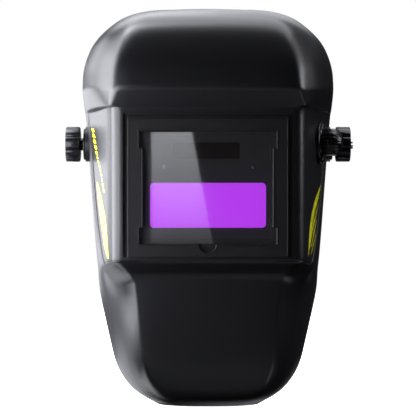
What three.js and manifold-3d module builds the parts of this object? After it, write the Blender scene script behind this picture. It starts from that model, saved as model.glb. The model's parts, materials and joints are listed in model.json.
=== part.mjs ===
// Welding helmet: a moulded mask shell with an auto-darkening filter cartridge, hung on a
// headgear by two clamping pivots. Millimetres, +Z up, the wearer looks along -Y and the
// wearer's left is +X. The origin is the middle of the pivot axis, inside the headband.
import * as THREE from 'three';
import { mergeVertices } from 'three/addons/utils/BufferGeometryUtils.js';
import Module from 'manifold-3d';

const wasm = await Module();
wasm.setup();

// ---------------------------------------------------------------- driving dimensions
const WALL = 2.0;                     // moulded wall of the shell
const GAP = 0.3;                      // clearance between pieces that touch
const WINDOW_Z = -37.3;               // height of the middle of the filter cartridge
const CARTRIDGE = { w: 110, h: 90 };  // standard filter cartridge and cover lens
const VIEW = { w: 90.6, h: 35, z: -50.9, r: 3 };       // window that the wearer looks through
const SOLAR = { w: 53, h: 12.8, x: -1.7, z: -8 };      // solar window over it
const SENSOR = { x: 35, z: -20.8, r: 2.3 };            // one arc sensor to each side
const FRAME_FACE_Y = -113.6;          // front face of the cover lens frame
const BAY_Y = -113;                   // outer face of the shell around the frame
const PIVOT_PAD_X = 96;               // inner face of the shell's pivot pads
const PIVOT_BOLT_R = 3.9;             // M8 pivot bolts
const KNOB_R = 15;                    // tension knobs
const BAND = { a: 80, b: 101, t: 1.6, h: 25 };         // headband ellipse, thickness, height
const BAND_CENTRE = { y: 20, z: -3 };
const BAND_TILT = 0.29;               // the band drops towards the nape
const DIAL = { y: -52, r: 17, t: 2, seat: 1.0 };       // shade dial on the left side panel

// ---------------------------------------------------------------- helpers
const material = (color, roughness, metalness = 0) =>
  new THREE.MeshStandardMaterial({ color, roughness, metalness });
const shellBlack = () => material(0x141416, 0.35);
const matteBlack = () => material(0x222326, 0.6);
const bandGrey = () => material(0x2b2c30, 0.55);
const steel = () => material(0x9a9ca0, 0.35, 1);

function facingOut(geometry) {
  const welded = geometry.clone();
  welded.deleteAttribute('normal');
  welded.deleteAttribute('uv');
  const merged = mergeVertices(welded, 1e-4);
  const index = merged.index.array;
  const p = merged.attributes.position.array;
  let volume = 0;
  for (let i = 0; i < index.length; i += 3) {
    const [a, b, c] = [0, 1, 2].map((k) => new THREE.Vector3().fromArray(p, 3 * index[i + k]));
    volume += a.dot(b.cross(c));
  }
  if (volume < 0) {
    for (let i = 0; i < index.length; i += 3) {
      [index[i], index[i + 1]] = [index[i + 1], index[i]];
    }
  }
  return merged;
}

function solid(geometry) {
  const g = facingOut(geometry);
  return new wasm.Manifold(new wasm.Mesh({
    numProp: 3,
    vertProperties: new Float32Array(g.attributes.position.array),
    triVerts: new Uint32Array(g.index.array),
  }));
}

function geometryOf(manifold) {
  const mesh = manifold.getMesh();
  const g = new THREE.BufferGeometry();
  g.setAttribute('position', new THREE.BufferAttribute(new Float32Array(mesh.vertProperties), 3));
  g.setIndex(new THREE.BufferAttribute(new Uint32Array(mesh.triVerts), 1));
  return g;
}

const cut = (base, ...tools) =>
  geometryOf(tools.reduce((m, tool) => m.subtract(solid(tool)), solid(base)));
const join = (base, ...others) =>
  geometryOf(others.reduce((m, other) => m.add(solid(other)), solid(base)));

const box = (x0, x1, y0, y1, z0, z1) =>
  new THREE.BoxGeometry(x1 - x0, y1 - y0, z1 - z0)
    .translate((x0 + x1) / 2, (y0 + y1) / 2, (z0 + z1) / 2);

// A box on one side, its x given as distances from the middle plane.
const sideBox = (s, x0, x1, y0, y1, z0, z1) =>
  box(Math.min(s * x0, s * x1), Math.max(s * x0, s * x1), y0, y1, z0, z1);

// A rod along X between x0 and x1, and one along Y between y0 and y1.
const rodX = (r, x0, x1, y = 0, z = 0, sides = 24) =>
  new THREE.CylinderGeometry(r, r, Math.abs(x1 - x0), sides)
    .rotateZ(Math.PI / 2).translate((x0 + x1) / 2, y, z);
const rodY = (r, y0, y1, x = 0, z = 0, sides = 24) =>
  new THREE.CylinderGeometry(r, r, y1 - y0, sides).translate(x, (y0 + y1) / 2, z);

function roundedRect(w, h, r) {
  const s = new THREE.Shape();
  s.moveTo(-w / 2 + r, -h / 2);
  s.lineTo(w / 2 - r, -h / 2);
  s.absarc(w / 2 - r, -h / 2 + r, r, -Math.PI / 2, 0);
  s.lineTo(w / 2, h / 2 - r);
  s.absarc(w / 2 - r, h / 2 - r, r, 0, Math.PI / 2);
  s.lineTo(-w / 2 + r, h / 2);
  s.absarc(-w / 2 + r, h / 2 - r, r, Math.PI / 2, Math.PI);
  s.lineTo(-w / 2, -h / 2 + r);
  s.absarc(-w / 2 + r, -h / 2 + r, r, Math.PI, 1.5 * Math.PI);
  return s;
}

const extrude = (shape, depth, curveSegments = 4) =>
  new THREE.ExtrudeGeometry(shape, { depth, bevelEnabled: false, curveSegments });
// An upright plate: the shape lies in XZ and the plate runs from y0 back to y1.
const plateY = (shape, y0, y1, x = 0, z = 0, curveSegments = 4) =>
  extrude(shape, y1 - y0, curveSegments).rotateX(Math.PI / 2).translate(x, y1, z);
// A prism: the shape lies in XY and the prism runs from z0 up to z1.
const prismZ = (shape, z0, z1, curveSegments = 4) =>
  extrude(shape, z1 - z0, curveSegments).translate(0, 0, z0);
// A prism along X, its shape given as (y, z).
const prismX = (shape, x0, x1, curveSegments = 6) =>
  extrude(shape, Math.abs(x1 - x0), curveSegments)
    .rotateY(Math.PI / 2).rotateX(Math.PI / 2).translate(Math.min(x0, x1), 0, 0);
const polygon = (points) => new THREE.Shape(points.map(([x, y]) => new THREE.Vector2(x, y)));

// The outline of a grip: lobes round a circle, with narrow grooves between them.
function gripOutline(r, lobes, groove, pointsPerLobe = 5) {
  const points = [];
  const count = lobes * pointsPerLobe;
  for (let i = 0; i < count; i += 1) {
    const angle = (2 * Math.PI * i) / count;
    const dip = (1 - Math.abs(Math.sin((lobes * angle) / 2))) ** 2;
    points.push([(r - groove * dip) * Math.cos(angle), (r - groove * dip) * Math.sin(angle)]);
  }
  return polygon(points);
}

const helmet = new THREE.Group();
const SIDES = [['right', -1], ['left', 1]];   // the wearer's right and left

function add(parent, name, geometry, mat) {
  const mesh = new THREE.Mesh(facingOut(geometry), mat);
  mesh.name = name;
  parent.add(mesh);
  return mesh;
}

// ---------------------------------------------------------------- mask shell
// The shell's outer face is a net of control points. Each row runs from the centre line
// (first point) round the wearer's left side to the rear rim (last point), and the rows run
// from the crown, over the brow, the filter bay and the chin, to the lower rim.
const NET = [
  // crown line
  [[0, -36, 109], [0, -33, 109], [0, -30, 109.2], [0, -24, 109.5],
    [0, -15, 110], [0, -6, 110.5], [0, 3, 111], [0, 12, 111.5]],
  // crown shoulder
  [[0, -78, 106], [36, -77, 105.5], [48, -74, 105], [56, -62, 106.5],
    [60, -38, 109], [60.5, -18, 110], [61, -2, 111], [61.5, 12, 111.5]],
  // forehead top
  [[0, -112, 94], [48, -111.5, 93.5], [63, -109, 92], [80, -90, 88],
    [89.5, -52, 86], [91, -28, 87.5], [92, -6, 88], [92, 20, 88.5]],
  // forehead
  [[0, -124, 66], [57, -123.5, 66], [71, -121, 65.5], [89, -95, 64.5],
    [100, -56, 63], [102, -28, 63.5], [103, -2, 64], [103.2, 30, 64]],
  // brow edge
  [[0, -125.5, 40], [59, -125, 40], [73, -122.5, 39.5], [90.5, -96, 41],
    [101.3, -55, 42], [103, -28, 42], [103.8, 0, 42], [104, 38, 44]],
  // brow root
  [[0, -114.5, 27], [62, -114.5, 27], [77, -113.5, 27], [83.5, -98, 27],
    [97.5, -45, 27], [101.5, -20, 27.5], [103.2, 5, 28.5], [103.5, 41, 29]],
  // bay top
  [[0, BAY_Y, 25.5], [60, BAY_Y, 25.5], [73.5, -112.8, 25.5], [79.6, -97, 25],
    [97.6, -18, 24], [99.4, -14, 23.5], [102.3, 8, 24], [102.8, 42, 23]],
  // bay at the pivots
  [[0, BAY_Y, -30], [60, BAY_Y, -30], [73.5, -112.8, -30], [79.6, -97, -29],
    [93.4, -34, -27], [95.6, -30.5, -28], [97.5, 0, -29], [99.5, 40, -30]],
  // bay low
  [[0, BAY_Y, -70], [60, BAY_Y, -70], [73.3, -112.8, -70], [79.4, -97.5, -70],
    [88.1, -59, -71], [90.3, -55, -73], [93.2, -18, -77], [95, 30, -80]],
  // bay bottom edge
  [[0, BAY_Y, -95], [58, BAY_Y, -95], [73, -112, -95], [79, -99, -97],
    [82.4, -90, -98.5], [84.6, -83, -101], [89.8, -38, -103], [92.3, 20, -104]],
  // chin top
  [[0, -102, -106.5], [46, -102, -106.5], [59, -101.8, -107], [64.5, -96.5, -110],
    [69, -90, -112.5], [76.5, -76, -115], [85.5, -44, -116.5], [91.4, 13, -117]],
  // chin
  [[0, -101.5, -125], [46, -101.5, -125], [56, -101, -125], [60.5, -95.5, -125.5],
    [66.5, -86.5, -126], [73.2, -74, -126.5], [82.7, -45, -127], [89.3, 7, -128]],
  // chin low
  [[0, -100, -160], [44, -100, -160], [53.5, -99.5, -160], [58, -94.5, -160],
    [63.2, -86.5, -160], [69, -75, -160], [76, -52, -160], [80.8, -18, -160]],
  // chin foot
  [[0, -97, -186], [41, -97, -186], [49, -96, -186], [54, -91, -185.5],
    [58.4, -84, -185], [63.5, -74, -184.5], [70, -55, -184], [74.3, -36, -183]],
  // under the chin
  [[0, -86, -206], [31, -85.5, -205.5], [39, -84, -205], [44, -80, -204.5],
    [48, -75, -204], [52, -70, -203.3], [56.5, -62, -202], [60, -54, -200.5]],
  // lower rim
  [[0, -72, -211.5], [21, -71.5, -211.3], [26, -71, -211.1], [30, -70, -210.9],
    [33, -69, -210.8], [35.5, -68, -210.6], [38, -66.5, -210.4], [40, -65, -210]],
].map((row) => row.map((p) => new THREE.Vector3(...p)));
const LAST_ROW = NET.length - 1;
const LAST_COLUMN = NET[0].length - 1;

// How far the rounding at a control point reaches along the net, as a share of the distance
// to its neighbours: 0.5 is a smooth curve, 0.12 a crisp edge. Down the net the crisp rows
// fade out towards the rear rim; across it the corner column and the ledge are crisp by row.
const SOFT = 0.5;
const ROW_EDGE = { 4: 0.12, 5: 0.25, 6: 0.25, 9: 0.12, 10: 0.25 };
const ROW_EDGE_FADE = [0, 0, 0, 0, 0.15, 0.6, 1, 1];
const COLUMN_EDGE = {
  2: [SOFT, SOFT, 0.45, 0.35, 0.25, 0.2, SOFT, SOFT, SOFT, 0.35, 0.12, 0.12, 0.15, 0.3, SOFT, SOFT],
  3: [SOFT, SOFT, SOFT, SOFT, SOFT, 0.4, 0.2, 0.2, 0.2, 0.3, SOFT, SOFT, SOFT, SOFT, SOFT, SOFT],
  4: [SOFT, SOFT, SOFT, SOFT, SOFT, 0.4, 0.12, 0.12, 0.12, 0.2, SOFT, SOFT, SOFT, SOFT, SOFT, SOFT],
  5: [SOFT, SOFT, SOFT, SOFT, SOFT, 0.4, 0.15, 0.2, 0.25, 0.35, SOFT, SOFT, SOFT, SOFT, SOFT, SOFT],
};

function rowReach(row, column) {
  const edge = ROW_EDGE[row] ?? SOFT;
  return edge + (SOFT - edge) * ROW_EDGE_FADE[column];
}

function columnReach(column, v) {
  if (!COLUMN_EDGE[column]) {
    return SOFT;
  }
  const row = Math.min(Math.floor(v), LAST_ROW - 1);
  const [above, below] = COLUMN_EDGE[column].slice(row, row + 2);
  return above + (below - above) * (v - row);
}

// A point on the polyline through `points` whose corners are rounded by `reach`.
function onRoundedLine(points, reach, s) {
  const last = points.length - 1;
  const near = Math.min(Math.max(Math.round(s), 0), last);
  const offset = s - near;
  const t = reach(near);
  if (near > 0 && near < last && t > 0 && Math.abs(offset) < t) {
    const before = points[near].clone().lerp(points[near - 1], t);
    const after = points[near].clone().lerp(points[near + 1], t);
    const w = (offset + t) / (2 * t);
    return before.multiplyScalar((1 - w) ** 2)
      .addScaledVector(points[near], 2 * w * (1 - w))
      .addScaledVector(after, w * w);
  }
  const from = Math.min(Math.floor(s), last - 1);
  return points[from].clone().lerp(points[from + 1], s - from);
}

// The outer face at column u (negative on the wearer's right) and row v.
function shellPoint(u, v) {
  const half = [];
  for (let column = 0; column <= LAST_COLUMN; column += 1) {
    const rows = NET.map((row) => row[column]);
    half.push(onRoundedLine(rows, (row) => rowReach(row, column), v));
  }
  const mirrored = half.slice(1).reverse().map((p) => new THREE.Vector3(-p.x, p.y, p.z));
  const reach = (i) => columnReach(Math.abs(i - LAST_COLUMN), v);
  return onRoundedLine([...mirrored, ...half], reach, u + LAST_COLUMN);
}

// The inner face lies one wall behind, along a normal taken over a wide stencil, so that
// the steps in the shell don't fold it.
const STENCIL = 0.5;
function innerPoint(u, v) {
  const clampU = (a) => Math.min(Math.max(a, -LAST_COLUMN), LAST_COLUMN);
  const clampV = (a) => Math.min(Math.max(a, 0), LAST_ROW);
  const across = shellPoint(clampU(u + STENCIL), v).sub(shellPoint(clampU(u - STENCIL), v));
  const down = shellPoint(u, clampV(v + STENCIL)).sub(shellPoint(u, clampV(v - STENCIL)));
  const inward = across.cross(down).normalize();
  if (v === 0) {
    inward.set(0, 0, -1);
  }
  return shellPoint(u, v).addScaledVector(inward, WALL);
}

const COLUMNS = [0, 1, 1.5, 1.85, 2.15, 2.5, 2.85, 3.15, 3.5, 3.88, 4.15, 4.85, 5.2, 6, 7];
const ROWS = [0, 0.6, 1.1, 1.6, 2.1, 2.6, 3.2, 3.9, 4.12, 4.75, 5.25, 5.75, 6.25, 7, 8, 8.88,
  9.12, 9.75, 10.25, 11, 12, 13, 13.5, 14, 14.5, 15];

function shellBody() {
  const us = [...COLUMNS.slice(1).reverse().map((u) => -u), ...COLUMNS];
  const faces = [shellPoint, innerPoint].map((face) => ROWS.map((v) => us.map((u) => face(u, v))));
  const positions = [];
  const quad = (a, b, c, d) => {
    // The crown line is one line folded at the centre, where a quad closes to nothing.
    for (const [p, q, r] of [[a, b, c], [a, c, d]]) {
      const area = q.clone().sub(p).cross(r.clone().sub(p)).length();
      if (area > 1e-6) {
        positions.push(...p.toArray(), ...q.toArray(), ...r.toArray());
      }
    }
  };
  const [outer, inner] = faces;
  const lastU = us.length - 1;
  const lastV = ROWS.length - 1;
  for (let j = 0; j < lastV; j += 1) {
    for (let i = 0; i < lastU; i += 1) {
      quad(outer[j][i], outer[j + 1][i], outer[j + 1][i + 1], outer[j][i + 1]);
      quad(inner[j][i], inner[j][i + 1], inner[j + 1][i + 1], inner[j + 1][i]);
    }
    quad(outer[j][0], inner[j][0], inner[j + 1][0], outer[j + 1][0]);
    quad(outer[j][lastU], outer[j + 1][lastU], inner[j + 1][lastU], inner[j][lastU]);
  }
  for (let i = 0; i < lastU; i += 1) {
    quad(outer[lastV][i], inner[lastV][i], inner[lastV][i + 1], outer[lastV][i + 1]);
  }
  const g = new THREE.BufferGeometry();
  g.setAttribute('position', new THREE.Float32BufferAttribute(positions, 3));
  return g;
}

// The shade dial stands square to the side panel, whose plane runs through these two points.
const PANEL_FRONT = new THREE.Vector3(79.6, -97, 0);
const PANEL_REAR = new THREE.Vector3(95.6, -25.4, 0);
const panelAlong = PANEL_REAR.clone().sub(PANEL_FRONT).normalize();
const dialAngle = -Math.asin(panelAlong.x);
const dialCentre = PANEL_FRONT.clone()
  .addScaledVector(panelAlong, (DIAL.y - PANEL_FRONT.y) / panelAlong.y);
// Geometry made along +X from the outer face of the panel, turned and moved to the dial.
const atDial = (g) => g.rotateZ(dialAngle).translate(...dialCentre.toArray());

const OPENING = { w: 132.6, z0: -91.6, z1: 20.6 };      // hole in the shell round the frame
const PAD_R = 14.5;
const PIVOT_PAD_OUT = 101.5;
const BUSH_R = 4.5;                                    // neck of the shade potentiometer
const STOP_PEG = { r: 2.4, y: 17, length: 2.5 };       // shell's peg that meets the tilt limiter
const PAST = 5;                                        // how far a cutting tool runs past a face
{
  const pads = SIDES.map(([, s]) => rodX(PAD_R, s * PIVOT_PAD_X, s * PIVOT_PAD_OUT, 0, 0, 32));
  const pegs = SIDES.map(([, s]) =>
    rodX(STOP_PEG.r, s * (PIVOT_PAD_X - STOP_PEG.length), s * (PIVOT_PAD_X + STOP_PEG.length),
      STOP_PEG.y, 0, 10));
  const opening = box(-OPENING.w / 2, OPENING.w / 2, BAY_Y - PAST, BAY_Y + WALL + PAST,
    OPENING.z0, OPENING.z1);
  const boltHoles = SIDES.map(([, s]) =>
    rodX(PIVOT_BOLT_R + 2 * GAP, s * (PIVOT_PAD_X - PAST), s * (PIVOT_PAD_OUT + PAST)));
  const bushHole = atDial(rodX(BUSH_R + GAP, -WALL - PAST, DIAL.seat + PAST));
  const dialSeat = atDial(rodX(DIAL.r + 0.8, -WALL, DIAL.seat, 0, 0, 40));
  const shell = cut(join(shellBody(), ...pads, ...pegs, dialSeat), opening, ...boltHoles, bushHole);
  add(helmet, 'shell', shell, shellBlack());
}

// ---------------------------------------------------------------- cover lens frame
const LENS = { y0: -110, y1: -109 };
const FLANGE = { w: 134.4, z0: -92, z1: 22.3, y0: -110.1, y1: -108.7 };
const FRAME_OUT = { w: 125.4, z0: -91.2, z1: 18 };
const WINDOW = { w: 101, h: 87.6, notchW: 107, notchH: 12.5, thumbR: 6.9, thumbX: -0.6 };
const LUG = { x0: 62, x1: 64.5, lip: 1, lipDepth: 1.6, back: -101, z0: -46, z1: -29 };
{
  const face = box(-FRAME_OUT.w / 2, FRAME_OUT.w / 2, FRAME_FACE_Y, FLANGE.y0 + 0.5,
    FRAME_OUT.z0, FRAME_OUT.z1);
  const flange = box(-FLANGE.w / 2, FLANGE.w / 2, FLANGE.y0, FLANGE.y1, FLANGE.z0, FLANGE.z1);
  const lugs = SIDES.map(([, s]) => join(
    sideBox(s, LUG.x0, LUG.x1, FLANGE.y1 - 0.5, LUG.back, LUG.z0, LUG.z1),
    sideBox(s, LUG.x0 - LUG.lip, LUG.x1, LUG.back - LUG.lipDepth, LUG.back, LUG.z0, LUG.z1),
  ));
  const through = [FRAME_FACE_Y - 1, FLANGE.y1 + 1];
  const top = WINDOW_Z + WINDOW.h / 2;
  const bottom = WINDOW_Z - WINDOW.h / 2;
  const window = box(-WINDOW.w / 2, WINDOW.w / 2, ...through, bottom, top);
  const notches = [[bottom, bottom + WINDOW.notchH], [top - WINDOW.notchH, top]]
    .map(([z0, z1]) => box(-WINDOW.notchW / 2, WINDOW.notchW / 2, ...through, z0, z1));
  const thumb = rodY(WINDOW.thumbR, FRAME_FACE_Y - 1, LENS.y0 - 0.6, WINDOW.thumbX, bottom, 24);
  const pocket = box(-CARTRIDGE.w / 2 - GAP, CARTRIDGE.w / 2 + GAP, LENS.y0 - GAP,
    FLANGE.y1 + 1, WINDOW_Z - CARTRIDGE.h / 2 - GAP, WINDOW_Z + CARTRIDGE.h / 2 + GAP);
  const frame = cut(join(face, flange, ...lugs), window, ...notches, thumb, pocket);
  add(helmet, 'front_frame', frame, matteBlack());
  const lens = plateY(roundedRect(CARTRIDGE.w, CARTRIDGE.h, 1.5), LENS.y0, LENS.y1, 0, WINDOW_Z, 2);
  add(helmet, 'front_cover_lens', lens, material(0xdfe6ea, 0.08));
}

// ---------------------------------------------------------------- auto-darkening cartridge
const CASE = { front: -108.6, split: -101, back: -98.1, skin: 1.4, wall: 2 };
const BACK_SPLIT = CASE.split + GAP;
const FACE_RECESS = { marginX: 6, marginZ: 4.5, depth: 0.5 };
const RAIL = { x: 49.6, t: 1.6, lip: 1.4, height: 2.4, z0: -74, z1: -28 };   // inner lens guides
const STACK_Y = CASE.front + 1.6;        // front of everything mounted behind the front skin
const GLASS = { w: 94, h: 39, t: 1.1, cell: 4 };
const SOLAR_CELL = { halfW: 28, halfH: 7.6 };
const BOARD = { halfW: 51, z0: -30.5, z1: 5, front: 2.5, t: 1.2 };
const COIN_CELL = { r: 10, x: 40.5, z: -13, front: 4, t: 2.5 };
const KNOB_AT = { x: -24, z: -10 };      // sensitivity knob on the back of the cartridge
const KNOB_STEM_R = 1.9;
const SWITCH_AT = { x: 14, z: -10 };     // delay switch beside it
{
  const outline = roundedRect(CARTRIDGE.w, CARTRIDGE.h, 2);
  const cavity = roundedRect(CARTRIDGE.w - 2 * CASE.wall, CARTRIDGE.h - 2 * CASE.wall, 1);
  const border = roundedRect(CARTRIDGE.w - 2 * FACE_RECESS.marginX,
    CARTRIDGE.h - 2 * FACE_RECESS.marginZ, 1);
  const front = cut(
    plateY(outline, CASE.front, CASE.split, 0, WINDOW_Z, 2),
    plateY(cavity, CASE.front + CASE.skin, CASE.split + 1, 0, WINDOW_Z, 1),
    plateY(border, CASE.front - 1, CASE.front + FACE_RECESS.depth, 0, WINDOW_Z, 1),
    plateY(roundedRect(VIEW.w, VIEW.h, VIEW.r), CASE.front - 1, CASE.split, 0, VIEW.z),
    plateY(roundedRect(SOLAR.w, SOLAR.h, 0.8), CASE.front - 1, CASE.split, SOLAR.x, SOLAR.z, 2),
    rodY(SENSOR.r, CASE.front - 1, CASE.split, -SENSOR.x, SENSOR.z, 16),
    rodY(SENSOR.r, CASE.front - 1, CASE.split, SENSOR.x, SENSOR.z, 16),
  );
  add(helmet, 'cartridge_front_case', front, material(0x2e2c31, 0.5));

  const railTop = CASE.back + RAIL.height;
  const rails = SIDES.flatMap(([, s]) => [
    sideBox(s, RAIL.x, RAIL.x + RAIL.t, CASE.back - 0.4, railTop, RAIL.z0, RAIL.z1),
    sideBox(s, RAIL.x - RAIL.lip, RAIL.x + RAIL.t, railTop - 1, railTop, RAIL.z0, RAIL.z1),
  ]);
  const back = cut(
    join(plateY(outline, BACK_SPLIT, CASE.back, 0, WINDOW_Z, 2), ...rails),
    plateY(cavity, BACK_SPLIT - 1, CASE.back - 1.5, 0, WINDOW_Z, 1),
    plateY(roundedRect(VIEW.w + 1.4, VIEW.h + 2, VIEW.r), BACK_SPLIT - 1, CASE.back + 1, 0, VIEW.z),
    rodY(KNOB_STEM_R + 0.4, BACK_SPLIT - 1, CASE.back + 1, KNOB_AT.x, KNOB_AT.z, 16),
    box(SWITCH_AT.x - 5, SWITCH_AT.x + 5, BACK_SPLIT - 1, CASE.back + 1,
      SWITCH_AT.z - 1.6, SWITCH_AT.z + 1.6),
  );
  add(helmet, 'cartridge_back_case', back, material(0x2a2a2d, 0.55));

  const pane = roundedRect(GLASS.w, GLASS.h, 1);
  const glass = plateY(pane, STACK_Y, STACK_Y + GLASS.t, 0, VIEW.z, 1);
  add(helmet, 'filter_glass', glass, material(0xb643e8, 0.1));
  const cellFront = STACK_Y + GLASS.t + GAP;
  const cell = plateY(pane, cellFront, cellFront + GLASS.cell, 0, VIEW.z, 1);
  add(helmet, 'lcd_cell', cell, material(0x3a4a3c, 0.15));
  const solar = box(SOLAR.x - SOLAR_CELL.halfW, SOLAR.x + SOLAR_CELL.halfW, STACK_Y,
    STACK_Y + GLASS.t, SOLAR.z - SOLAR_CELL.halfH, SOLAR.z + SOLAR_CELL.halfH);
  add(helmet, 'solar_panel', solar, material(0x22191a, 0.2));
  for (const [side, s] of SIDES) {
    const sensor = new THREE.LatheGeometry([[0, 0], [1, 0.25], [1.8, 1], [1.8, 2.2], [0, 2.2]]
      .map(([r, h]) => new THREE.Vector2(r, h)), 16).translate(s * SENSOR.x, STACK_Y, SENSOR.z);
    add(helmet, `arc_sensor_${side}`, sensor, material(0x3a3a40, 0.15));
  }
  const board = box(-BOARD.halfW, BOARD.halfW, STACK_Y + BOARD.front,
    STACK_Y + BOARD.front + BOARD.t, BOARD.z0, BOARD.z1);
  add(helmet, 'circuit_board', board, material(0x1f5a34, 0.5));
  for (const [side, s] of SIDES) {
    const coinCell = rodY(COIN_CELL.r, STACK_Y + COIN_CELL.front,
      STACK_Y + COIN_CELL.front + COIN_CELL.t, s * COIN_CELL.x, COIN_CELL.z, 20);
    add(helmet, `coin_cell_${side}`, coinCell, steel());
  }

  const sensitivity = join(
    plateY(gripOutline(6, 12, 0.7, 4), CASE.back + GAP, CASE.back + 5.3, KNOB_AT.x, KNOB_AT.z),
    rodY(KNOB_STEM_R, STACK_Y + BOARD.front + BOARD.t + GAP + 0.2, CASE.back + 1,
      KNOB_AT.x, KNOB_AT.z, 12),
  );
  add(helmet, 'sensitivity_knob', cut(sensitivity,
    box(KNOB_AT.x - 0.6, KNOB_AT.x + 0.6, CASE.back + 4.5, CASE.back + 6, KNOB_AT.z, KNOB_AT.z + 7),
  ), material(0x1a1a1c, 0.4));
  const slider = join(
    box(SWITCH_AT.x - 2.2, SWITCH_AT.x + 2.2, CASE.back + GAP, CASE.back + 1.3,
      SWITCH_AT.z - 3, SWITCH_AT.z + 3),
    box(SWITCH_AT.x - 1, SWITCH_AT.x + 1, CASE.back - 3.4, CASE.back + 2.8,
      SWITCH_AT.z - 1.2, SWITCH_AT.z + 1.2),
  );
  add(helmet, 'delay_slider', slider, material(0xb8b8ba, 0.5));
  const lensHalf = RAIL.x - GAP - 0.1;
  const innerLens = box(-lensHalf, lensHalf, CASE.back + GAP, CASE.back + 1.1,
    RAIL.z0 + 1, RAIL.z1 - 1);
  add(helmet, 'inner_cover_lens', innerLens, material(0xdfe6ea, 0.08));
}

// ---------------------------------------------------------------- cartridge holder
{
  const rim = 4;                         // the holder's wall round the cartridge
  const lap = 3.4;                       // and its lip behind it
  const half = CARTRIDGE.w / 2 + rim;
  const [z0, z1] = [WINDOW_Z - CARTRIDGE.h / 2 - rim, WINDOW_Z + CARTRIDGE.h / 2 + rim];
  const rear = CASE.back + 3.1;
  const holder = cut(
    box(-half, half, FLANGE.y1 + GAP, rear, z0, z1),
    box(-CARTRIDGE.w / 2 - GAP, CARTRIDGE.w / 2 + GAP, FLANGE.y1 - 1, CASE.back + GAP,
      z0 + rim - GAP, z1 - rim + GAP),
    box(-half + rim + 3, half - rim - 3, CASE.back - 1, rear + 1, z0 + rim + lap, z1 - rim - lap),
  );
  add(helmet, 'cartridge_retainer', holder, matteBlack());
  for (const [side, s] of SIDES) {
    // A spring clip lies on the holder's back, runs forward past its side and hooks its lug.
    const [t, foot] = [0.8, 50.3];
    const leg = half + 2.5;
    const hook = LUG.back + GAP;
    const clip = polygon([[foot, rear + GAP], [leg, rear + GAP], [leg, hook], [leg + 2.6, hook],
      [leg + 2.6, hook + t], [leg + t, hook + t], [leg + t, rear + GAP + t],
      [foot, rear + GAP + t]].map(([x, y]) => [s * x, y]));
    add(helmet, `retainer_clip_${side}`, prismZ(clip, LUG.z0 + 2, LUG.z1 - 2), steel());
  }
}

// ---------------------------------------------------------------- shade control
{
  const dialFace = DIAL.seat + GAP + DIAL.t;
  add(helmet, 'shade_dial_plate', atDial(cut(
    rodX(DIAL.r, DIAL.seat + GAP, dialFace, 0, 0, 36),
    rodX(BUSH_R + GAP, -1, 5),
  )), material(0x121214, 0.3));
  // The potentiometer sits behind the panel; its threaded neck passes the panel and the dial.
  const behind = -WALL - 1.2;
  const POT = { r: 8, depth: 9, neck: 2.2, shaftR: 3, shaft: 9 };
  const NUT = { r: 7, t: 1.8 };
  const pot = join(
    rodX(POT.r, behind - POT.depth, behind, 0, 0, 24),
    rodX(BUSH_R, behind - 1, dialFace + POT.neck, 0, 0, 16),
    rodX(POT.shaftR, dialFace, dialFace + POT.shaft, 0, 0, 12),
  );
  add(helmet, 'shade_potentiometer', atDial(pot), steel());
  const nut = cut(rodX(NUT.r, dialFace + GAP, dialFace + GAP + NUT.t, 0, 0, 6),
    rodX(BUSH_R + GAP, 0, 8, 0, 0, 16));
  add(helmet, 'shade_nut', atDial(nut), steel());
  // A fluted, tapered cap over the nut, bored for the shaft.
  const flutes = 14;
  const rings = [[11, GAP], [11, 9.5], [10, 11.8], [7.4, 14.4], [5, 16]]
    .map(([r, x]) => [r, dialFace + x]);
  const positions = [];
  const steps = flutes * 2;
  const ringPoint = ([r, x], k) => {
    const depth = k % 2 ? 0.55 : 0;
    const angle = (2 * Math.PI * k) / steps;
    return [x, (r - depth) * Math.cos(angle), (r - depth) * Math.sin(angle)];
  };
  for (let k = 0; k < steps; k += 1) {
    for (let i = 0; i + 1 < rings.length; i += 1) {
      const [a, b] = [ringPoint(rings[i], k), ringPoint(rings[i], k + 1)];
      const [c, d] = [ringPoint(rings[i + 1], k + 1), ringPoint(rings[i + 1], k)];
      positions.push(...a, ...b, ...c, ...a, ...c, ...d);
    }
    const [first, last] = [rings[0], rings.at(-1)];
    positions.push(first[1], 0, 0, ...ringPoint(first, k + 1), ...ringPoint(first, k));
    positions.push(last[1], 0, 0, ...ringPoint(last, k), ...ringPoint(last, k + 1));
  }
  const cap = new THREE.BufferGeometry();
  cap.setAttribute('position', new THREE.Float32BufferAttribute(positions, 3));
  const knob = cut(cap, rodX(NUT.r + 0.9, 0, dialFace + 2.9, 0, 0, 18),
    rodX(POT.shaftR + GAP, 0, dialFace + POT.shaft + 2 * GAP, 0, 0, 12));
  add(helmet, 'shade_knob', atDial(knob), material(0x151517, 0.3));

  // The lead from the cartridge runs inside the shell to the potentiometer.
  const end = new THREE.Vector3(behind - POT.depth - GAP, 0, 0).applyAxisAngle(
    new THREE.Vector3(0, 0, 1), dialAngle).add(dialCentre);
  const route = new THREE.CatmullRomCurve3([
    new THREE.Vector3(46, CASE.back + GAP, -2),
    new THREE.Vector3(46, -93, -2),
    new THREE.Vector3(48.5, -83, -4),
    new THREE.Vector3(54, -72, -6),
    new THREE.Vector3(62, -60, -4),
    new THREE.Vector3(69, -52.5, -1),
    end.clone().add(new THREE.Vector3(-3, 0.4, 0)),
    end,
  ]);
  const section = new THREE.Shape();
  section.absarc(0, 0, 1.3, 0, 2 * Math.PI);
  add(helmet, 'shade_cable', new THREE.ExtrudeGeometry(section, {
    steps: 14, extrudePath: route, curveSegments: 4,
  }), material(0x101012, 0.6));
}

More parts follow.
